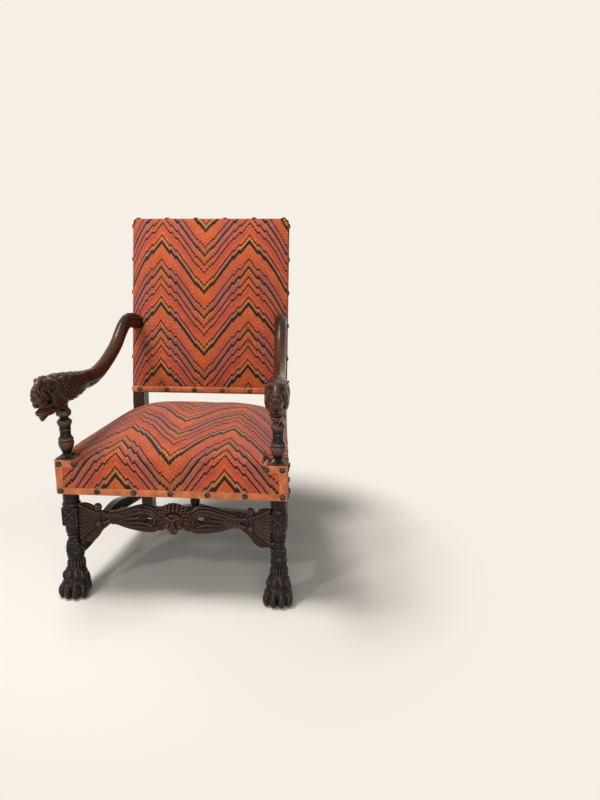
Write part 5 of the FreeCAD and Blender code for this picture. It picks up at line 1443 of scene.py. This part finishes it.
def supportMesh():
    dense = []
    for (r0, z0), (r1, z1) in zip(supportLine, supportLine[1:]):
        steps = max(1, int(((r1 - r0) ** 2 + (z1 - z0) ** 2) ** 0.5 / 1.6))
        dense += [(r0 + (r1 - r0) * i / steps, z0 + (z1 - z0) * i / steps) for i in range(steps)]
    bm = spun(dense + [supportLine[-1]], 72)
    for vertex in bm.verts:
        x, y, z = vertex.co
        turn = atan2(y, x)
        knob = max(0, 1 - abs(z - 594) / 15)
        flute = 1 - 0.13 * knob ** 0.5 * abs(sin(turn * 4)) ** 0.6
        vertex.co.x, vertex.co.y = x * flute - legX, y * flute
    mesh = toMesh(bm, "support")
    mesh = softened(mesh, 1, 0.4)
    bm = bmesh.new()
    bm.from_mesh(mesh)
    bm.from_mesh(plinthMesh())
    bm.to_mesh(mesh)
    bm.free()
    return mesh


both(supportMesh, ("armSupportRight", "armSupportLeft"), oakUpright,
     (["arm_support_right"], ["arm_support_left"]), smooth=60)
print("arm supports are turned")

# Radius and height down the turned part of a front leg
legLine = ((0, 342), (24.5, 342), (24.5, 312), (22, 308.5), (24, 306.5), (27, 304), (28.2, 299), (27.5, 294),
           (24, 291.5), (20, 291), (20, 234), (21, 232), (23.8, 228), (24.3, 218), (23.6, 208), (21, 203),
           (17.5, 200.6), (19, 199), (21.6, 197.8), (21.6, 195.2), (18.5, 193.8), (18, 190), (20, 180),
           (18, 110), (0, 110))


def facesOf(items, turns=(0, 90, 180, 270)):
    # Repeats what is drawn for the front face of a square block on its other faces
    made = []
    for turn in turns:
        c, s = round(cos(radians(turn))), round(sin(radians(turn)))
        for item in items:
            if isinstance(item[0][0], (int, float)):
                (x, y, z), radii, *tilt = item
                radii = radii if turn % 180 == 0 else (radii[1], radii[0], radii[2])
                tilt = [(0, t[1], 0) if turn % 180 == 0 else (-t[1] if turn == 90 else t[1], 0, 0)
                        for t in tilt]
                made.append(((x * c - y * s, x * s + y * c, z), radii, *tilt))
            else:
                made.append(([(x * c - y * s, x * s + y * c, z) for x, y, z in item[0]], *item[1:]))
    return made


def squareBlank(half, low, high, edge):
    place = Matrix.Translation((0, 0, (low + high) / 2))
    return toMesh(easedBlock((half * 2, half * 2, high - low), edge, place), "blank")


def legMesh():
    bm = spun(legLine, 48)
    turned = toMesh(bm, "turned")
    blanks = [turned, squareBlank(24.0, 233.5, 291.5, 2.2), squareBlank(20.5, 114, 176, 5)]

    # Upper block: a saltire of leaves over a small palmette; lower block: a boss under three crescents
    lumps = facesOf([((7.5, -24, 277), (10.5, 4.4, 3.8), (0, -45, 0)),
                     ((-7.5, -24, 277), (10.5, 4.4, 3.8), (0, 45, 0)),
                     ((7.5, -24, 262), (10.5, 4.4, 3.8), (0, 45, 0)),
                     ((-7.5, -24, 262), (10.5, 4.4, 3.8), (0, -45, 0)), ((0, -24, 269.5), (4.6, 5, 4.6)),
                     ((0, -24, 249), (4.2, 4, 8)), ((0, -24, 239), (6, 3.6, 3)),
                     ((9, -23.6, 246), (4, 3.8, 8), (0, 32, 0)), ((-9, -23.6, 246), (4, 3.8, 8), (0, -32, 0)),
                     ((0, -17, 132), (20, 9.5, 20))])
    strokes = facesOf([([(-22, -24, 290), (22, -24, 290)], [1.9, 1.9]),
                       ([(-22, -24, 235), (22, -24, 235)], [1.9, 1.9]),
                       ([(-22.6, -23, 290), (-22.6, -23, 235)], [1.7, 1.7]),
                       ([(22.6, -23, 290), (22.6, -23, 235)], [1.7, 1.7]),
                       ([(-21.5, -17, 142), (-18, -20.5, 155), (-9.5, -22, 164), (0, -22.5, 167),
                         (9.5, -22, 164), (18, -20.5, 155), (21.5, -17, 142)], [2.4] * 7),
                       ([(-20, -16, 158), (-12, -20, 170), (0, -21.5, 175.5), (12, -20, 170), (20, -16, 158)],
                        [1.8, 2.5, 2.6, 2.5, 1.8]),
                       ([(-17, -15, 173), (0, -19.5, 185), (17, -15, 173)], [1.6, 2.4, 1.6])])

    # Paw in tiers: tufts under the block, four knuckles, then four tall rounded toes, with a fluted heel
    lumps += [((0, 0, 98), (23, 23, 34)), ((0, -8, 70), (35, 29, 34)), ((0, 4, 42), (39, 24, 44)),
              ((0, -22, 30), (45, 34, 38)), ((0, -10, 18), (43, 34, 24))]
    lumps += pairsOf([((9.5, -30, 68), (12.5, 14, 17)), ((27, -21, 65), (12, 15, 17)),
                      ((12, -47, 23), (13.5, 19, 26)), ((34, -37, 21), (13, 19, 24))])
    for step in range(16):
        turn = radians(-90 + (step - 7.5) * 22.5)
        x, y = cos(turn), sin(turn)
        drop = 84 + 5 * sin(step * 2.1)
        strokes.append(([(x * 19.5, y * 19.5, 118), (x * 23.5, y * 23.5, 108), (x * 26, y * 26, 97),
                         (x * 27, y * 27, drop)], [2.8, 4.2, 3.6, 1.2]))
    strokes += pairsOf([([(23, -2, 90), (30, 0, 66), (35, 3, 40), (37, 5, 10)], [3, 4, 4.6, 5]),
                        ([(20, 10, 90), (25, 12, 66), (30, 15, 40), (32, 17, 10)], [3, 4, 4.6, 5]),
                        ([(10, 18, 90), (12.5, 20, 66), (15, 22, 40), (16, 22, 10)], [3, 4, 4.6, 5])])
    strokes.append(([(0, 19, 90), (0, 21, 60), (0, 22, 10)], [3.5, 4.6, 5]))
    whole = softened(blended(lumps, strokes, blanks, 1.2), 2, 0.5)

    cuts = [([(-44, -26, 47), (-34, -42, 49), (-14, -54, 50), (0, -53, 50), (14, -54, 50), (34, -42, 49),
              (44, -26, 47)],
             4.5, 3.4),
            ([(-32, -22, 84), (-15, -38, 87), (0, -40, 87), (15, -38, 87), (32, -22, 84)], 3.5, 2.4),
            ([(0, -70, 3), (0, -66, 22), (0, -56, 44)], 4.5, 3.6),
            ([(0, -46, 54), (0, -46, 66), (0, -38, 84)], 3.4, 2.6)]
    cuts += pairsOf([([(24, -64, 3), (24, -58, 22), (23, -46, 45)], 4.5, 3.6),
                     ([(19, -40, 54), (19, -38, 66), (17, -30, 84)], 3.4, 2.6),
                     ([(37, -22, 54), (36, -18, 68), (31, -12, 82)], 3, 2.8),
                     ([(46, -24, 8), (46, -20, 26), (40, -14, 48)], 3.6, 3.6),
                     # Claws and the fold along each toe
                     ([(6, -66, 6), (6, -70, 14), (12, -69, 19), (18, -67, 14), (18, -63, 6)], 1.8, 1.5),
                     ([(29, -56, 6), (30, -60, 14), (35, -57, 19), (41, -52, 14), (42, -48, 6)], 1.8, 1.5),
                     ([(8, -60, 38), (9, -64, 30)], 1.6, 1.2), ([(16, -58, 38), (16, -62, 30)], 1.6, 1.2),
                     ([(8, -44, 74), (8, -46, 62)], 1.6, 1.2), ([(27, -36, 72), (27, -37, 60)], 1.6, 1.2)])
    chiselled(whole, cuts)
    spots = coords(whole)
    spots[:, 2] = np.maximum(spots[:, 2], 0)
    spots[:, 0] -= legX
    return moveTo(whole, spots)


both(legMesh, ("frontLegRight", "frontLegLeft"), oakUpright, (["front_leg_right"], ["front_leg_left"]),
     smooth=0)
print("legs are carved")


def seatBlockPost():
    # The square top of the leg, hidden in the seat frame under the cloth
    blank = squareBlank(25.6, 340.6, 447.6, 0.8)
    blank.transform(Matrix.Translation((-legX, 0, 0)))
    return blank


both(seatBlockPost, ("seatBlockRight", "seatBlockLeft"), oakUpright, ([], []))


def boardStroke(points, radii, flat):
    return [(x, flat, z) for x, z in points], radii


def plateMesh(outline, front, back):
    # A flat board cut to a smooth outline of (x, z)
    bm = bmesh.new()
    rim = smoothPath([*outline, outline[0]], len(outline) * 5)[:-1]
    face = bm.faces.new([bm.verts.new((x, front, z)) for x, z in rim])
    made = bmesh.ops.extrude_face_region(bm, geom=[face])["geom"]
    bmesh.ops.translate(bm, vec=(0, back - front, 0),
                        verts=[item for item in made if isinstance(item, bmesh.types.BMVert)])
    bmesh.ops.recalc_face_normals(bm, faces=bm.faces)
    return toMesh(bm, "plate")


def stretcherMesh():
    # A broad leaf sweeps over and round a pierced eye, with a knob over and under its stalk and a ribbed
    # fan at the leg
    leaf = [(-30, 279), (-52, 282), (-66, 294), (-88, 302), (-114, 299), (-142, 291), (-177, 281),
            (-206, 272), (-206, 240), (-177, 236), (-142, 227), (-116, 220), (-90, 214), (-68, 213),
            (-52, 219), (-30, 226)]
    fan = [(-301, 300), (-282, 301), (-262, 296), (-248, 284), (-226, 276), (-205, 271), (-203, 238),
           (-228, 214), (-243, 192), (-254, 181), (-268, 174), (-290, 176), (-301, 179)]
    flow = [[(-206, 264), (-172, 273), (-138, 282), (-108, 291), (-80, 290), (-60, 277), (-50, 258)],
            [(-206, 259), (-168, 264), (-134, 271), (-108, 279), (-84, 280), (-66, 270), (-58, 254),
             (-64, 240)],
            [(-206, 255), (-166, 254), (-134, 257), (-112, 261)],
            [(-206, 250), (-166, 245), (-134, 242), (-108, 245), (-84, 242), (-68, 234)],
            [(-204, 245), (-164, 238), (-130, 232), (-100, 230), (-72, 226), (-50, 229)],
            [(-180, 240), (-150, 231), (-118, 224), (-88, 219), (-64, 218)]]
    strokes = [boardStroke(line, [4, *[6] * (len(line) - 2), 4.5], -6) for line in flow]
    for step in range(9):
        end = 296 - step * 13.5
        strokes.append(boardStroke([(-236 + abs(step - 3.5), 268 - step * 3),
                                    (-262, 0.45 * end + 0.55 * (266 - step * 2)), (-299, end)], [4, 6.5, 8],
                                   -4))
    for sign in (-1, 1):
        for step in range(4):
            x = -214 + step * 14
            strokes.append(boardStroke([(x + 16, 256 + sign * 3), (x + 6, 256 + sign * 10),
                                        (x - 6, 256 + sign * (14 + step)),
                                        (x - 12, 256 + sign * (13 + step))], [4, 6, 4.5, 2], -8))
    lumps = [((-238, -5, 292), (13, 12, 13)), ((-238, -5, 237), (12, 12, 12))]
    blank = blended(lumps, strokes, [plateMesh(leaf, -5, 9), plateMesh(fan, -4, 9)], 1.3)
    eye = blended([((-87, -13, 259), (21, 15, 13), (0, 14, 0)), ((-81, 0, 260), (11, 30, 9))], voxel=1.2)
    blank = hollowed(blank, eye)
    spots = coords(blank)
    spots[:, 1] = np.minimum(spots[:, 1], 11)
    spots[:, 0] = np.clip(spots[:, 0], -302, -30)
    whole = softened(moveTo(blank, spots), 1, 0.4)
    cuts = [([(x, -11, z) for x, z in line], 2.0, 2.0) for line in (
        [(-204, 261.5), (-170, 268.5), (-136, 276.5), (-108, 285), (-82, 285), (-62, 274), (-54, 257)],
        [(-204, 257), (-166, 259), (-134, 264), (-108, 270), (-92, 272), (-78, 268)],
        [(-204, 252.5), (-166, 249.5), (-134, 249.5), (-112, 252)],
        [(-204, 247.5), (-164, 241.5), (-132, 237), (-104, 237.5), (-78, 234), (-60, 231)],
        [(-200, 269), (-170, 278), (-136, 288), (-106, 297), (-76, 293), (-56, 280)],
        [(-196, 241), (-164, 234.5), (-130, 227.5), (-98, 224.5), (-70, 222)],
        *[[(x + 9, z - 5), (x + 3, z + 1), (x - 6, z + 3)] for x, z in (
            (-190, 264), (-172, 266), (-154, 270), (-136, 274), (-118, 279), (-190, 247), (-172, 243),
            (-154, 239), (-136, 235), (-118, 232), (-98, 286), (-76, 281))])]
    for step in range(8):
        end = 289.2 - step * 13.5
        cuts.append(([(-240, -9, 266 - step * 3), (-262, -11, 0.45 * end + 0.55 * (265 - step * 2)),
                      (-300, -12, end)], 2.4, 2.8))
    for z, r in ((292, 9), (237, 8)):
        cuts.append(([(-238 + r * cos(t) * (1 - t / 11), -17 + t * 0.1, z + r * sin(t) * (1 - t / 11))
                      for t in np.linspace(0, 9, 14)], 1.8, 2.0))
    return warmed(chiselled(whole, cuts), 0.35)


def maskMesh():
    # A small lion's mask: brows, eyes, nose, cheeks and chin under a cap of short curls
    lumps = [((0, 2, 264), (50, 11, 46)), ((0, -9, 252), (33, 14, 30)), ((0, -25, 241), (10, 6, 6)),
             ((0, -18, 231), (14, 9, 9)), ((0, -14, 220), (12, 8, 8))]
    lumps += pairsOf([((19, -16, 242), (12, 10, 11)), ((8, -22, 233), (8.5, 7, 7)),
                      ((14.5, -20, 256), (6, 5, 4.4))])
    for ring, (wide, high, count) in enumerate(((47, 42, 15), (40, 35, 13), (32, 28, 11))):
        for step in range(count):
            angle = -112 + 224 * step / (count - 1)
            lumps.append(((wide * sin(radians(angle)), -4 - 3.6 * ring, 264 + high * cos(radians(angle))),
                          (5.2 + 0.7 * sin(step * 1.7 + ring * 2), 5, 7.4 + 1.2 * cos(step * 2.9 + ring)),
                          (0, angle + 24 * sin(step * 2.3 + ring * 1.9), 0)))
    strokes = [([(-13, -17, 226), (0, -20, 228), (13, -17, 226)], [2, 2.6, 2]),
               ([(0, -14, 220), (0, -8, 212)], [8, 3.5]),
               ([(0, -19, 266), (0, -24, 254), (0, -27, 243)], [5, 5, 6])]
    strokes += pairsOf([([(1, -23, 261), (11, -25, 269), (22, -21, 272), (31, -15, 266)], [4.4, 5.6, 5, 3]),
                        ([(7, -21, 251), (14, -23, 248.5), (23, -17, 252)], [1.6, 2.2, 1.6])])
    blank = blended(lumps, strokes, voxel=1.1)
    spots = coords(blank)
    spots[:, 1] = np.clip(spots[:, 1], -30, 11)
    whole = softened(moveTo(blank, spots), 1, 0.35)
    cuts = [([(0, -27, 279), (0, -28, 266)], 2, 2.2), ([(0, -30, 237), (0, -27, 231)], 1.3, 1.6)]
    cuts += pairsOf([([(14.5, -26, 256), (16.5, -25, 256)], 2.8, 3),
                     ([(5, -31, 239), (7, -30, 240)], 2.4, 3.4),
                     ([(3, -27, 273), (14, -26, 280), (29, -18, 286)], 2.6, 3.4),
                     ([(6, -25, 259), (14, -28, 263), (26, -21, 262)], 2.6, 4),
                     ([(7, -24, 251), (10, -25, 243), (12, -24, 236)], 2.6, 3.6),
                     ([(33, -16, 264), (32, -14, 246), (24, -16, 228)], 3, 4),
                     ([(0, -23, 225), (15, -19, 226)], 2.4, 4)])
    return warmed(chiselled(whole, cuts), 0.6)


both(stretcherMesh, ("frontStretcherRight", "frontStretcherLeft"), oakAcross, (["front_stretcher"], []),
     smooth=0)
finishPiece("stretcherMask", markRelief(maskMesh()), oakAcross, "dark_oak", smooth=0)
print("stretcher is carved")


def easedCopy(node, name, material, ease):
    # A plain oak part keeps its own shape, with its edges eased
    mesh = nodes[node].data.copy()
    bm = bmesh.new()
    bm.from_mesh(mesh)
    bmesh.ops.remove_doubles(bm, verts=bm.verts, dist=0.00002)
    bmesh.ops.dissolve_limit(bm, angle_limit=radians(2), verts=bm.verts, edges=bm.edges)
    mesh.clear_geometry()
    bm.to_mesh(mesh)
    bm.free()
    mesh.name = name
    piece = finishPiece(name, mesh, material, "dark_oak", [node], smooth=0, place=Matrix.Identity(4))
    mesh.set_sharp_from_angle(angle=radians(50))
    eased = piece.modifiers.new("eased edges", "BEVEL")
    eased.width = ease / 1000
    eased.segments = 2
    eased.limit_method = "ANGLE"
    eased.angle_limit = radians(40)
    return piece


for side in ("left", "right"):
    post = easedCopy("back_post_" + side, "backPost" + side.title(), oakUpright, 1.6)
    warmed(post.data, 0.6)
    easedCopy("side_stretcher_" + side, "sideStretcher" + side.title(), oakDeep, 1.6)
easedCopy("cross_stretcher", "crossStretcher", oakAcross, 1.4)

finialLine = [(0, 181.6), (15, 181.6), (15.5, 185), (9, 188), (8, 192), (14, 197), (17.2, 207), (16, 219),
              (10, 228), (8, 233), (12.5, 237), (13, 241), (9, 244), (11, 249), (11.5, 255), (8, 262),
              (0, 267.4)]
bm = spun(roundedLine(finialLine, 4), 36)
bmesh.ops.translate(bm, vec=(0, 262, 0), verts=bm.verts)
finishPiece("stretcherFinial", bm, oakUpright, "dark_oak", ["stretcher_finial"], smooth=50)
print("plain oak parts are eased")

for name in ("front_seat_rail", "rear_seat_rail", "side_seat_rail_left", "side_seat_rail_right", "rail_pegs",
             "corner_blocks", "back_top_rail", "back_lower_rail"):
    nodes[name].data.materials[0] = beech
for name in ("arm_screws", "seat_springs"):
    nodes[name].data.materials[0] = steel
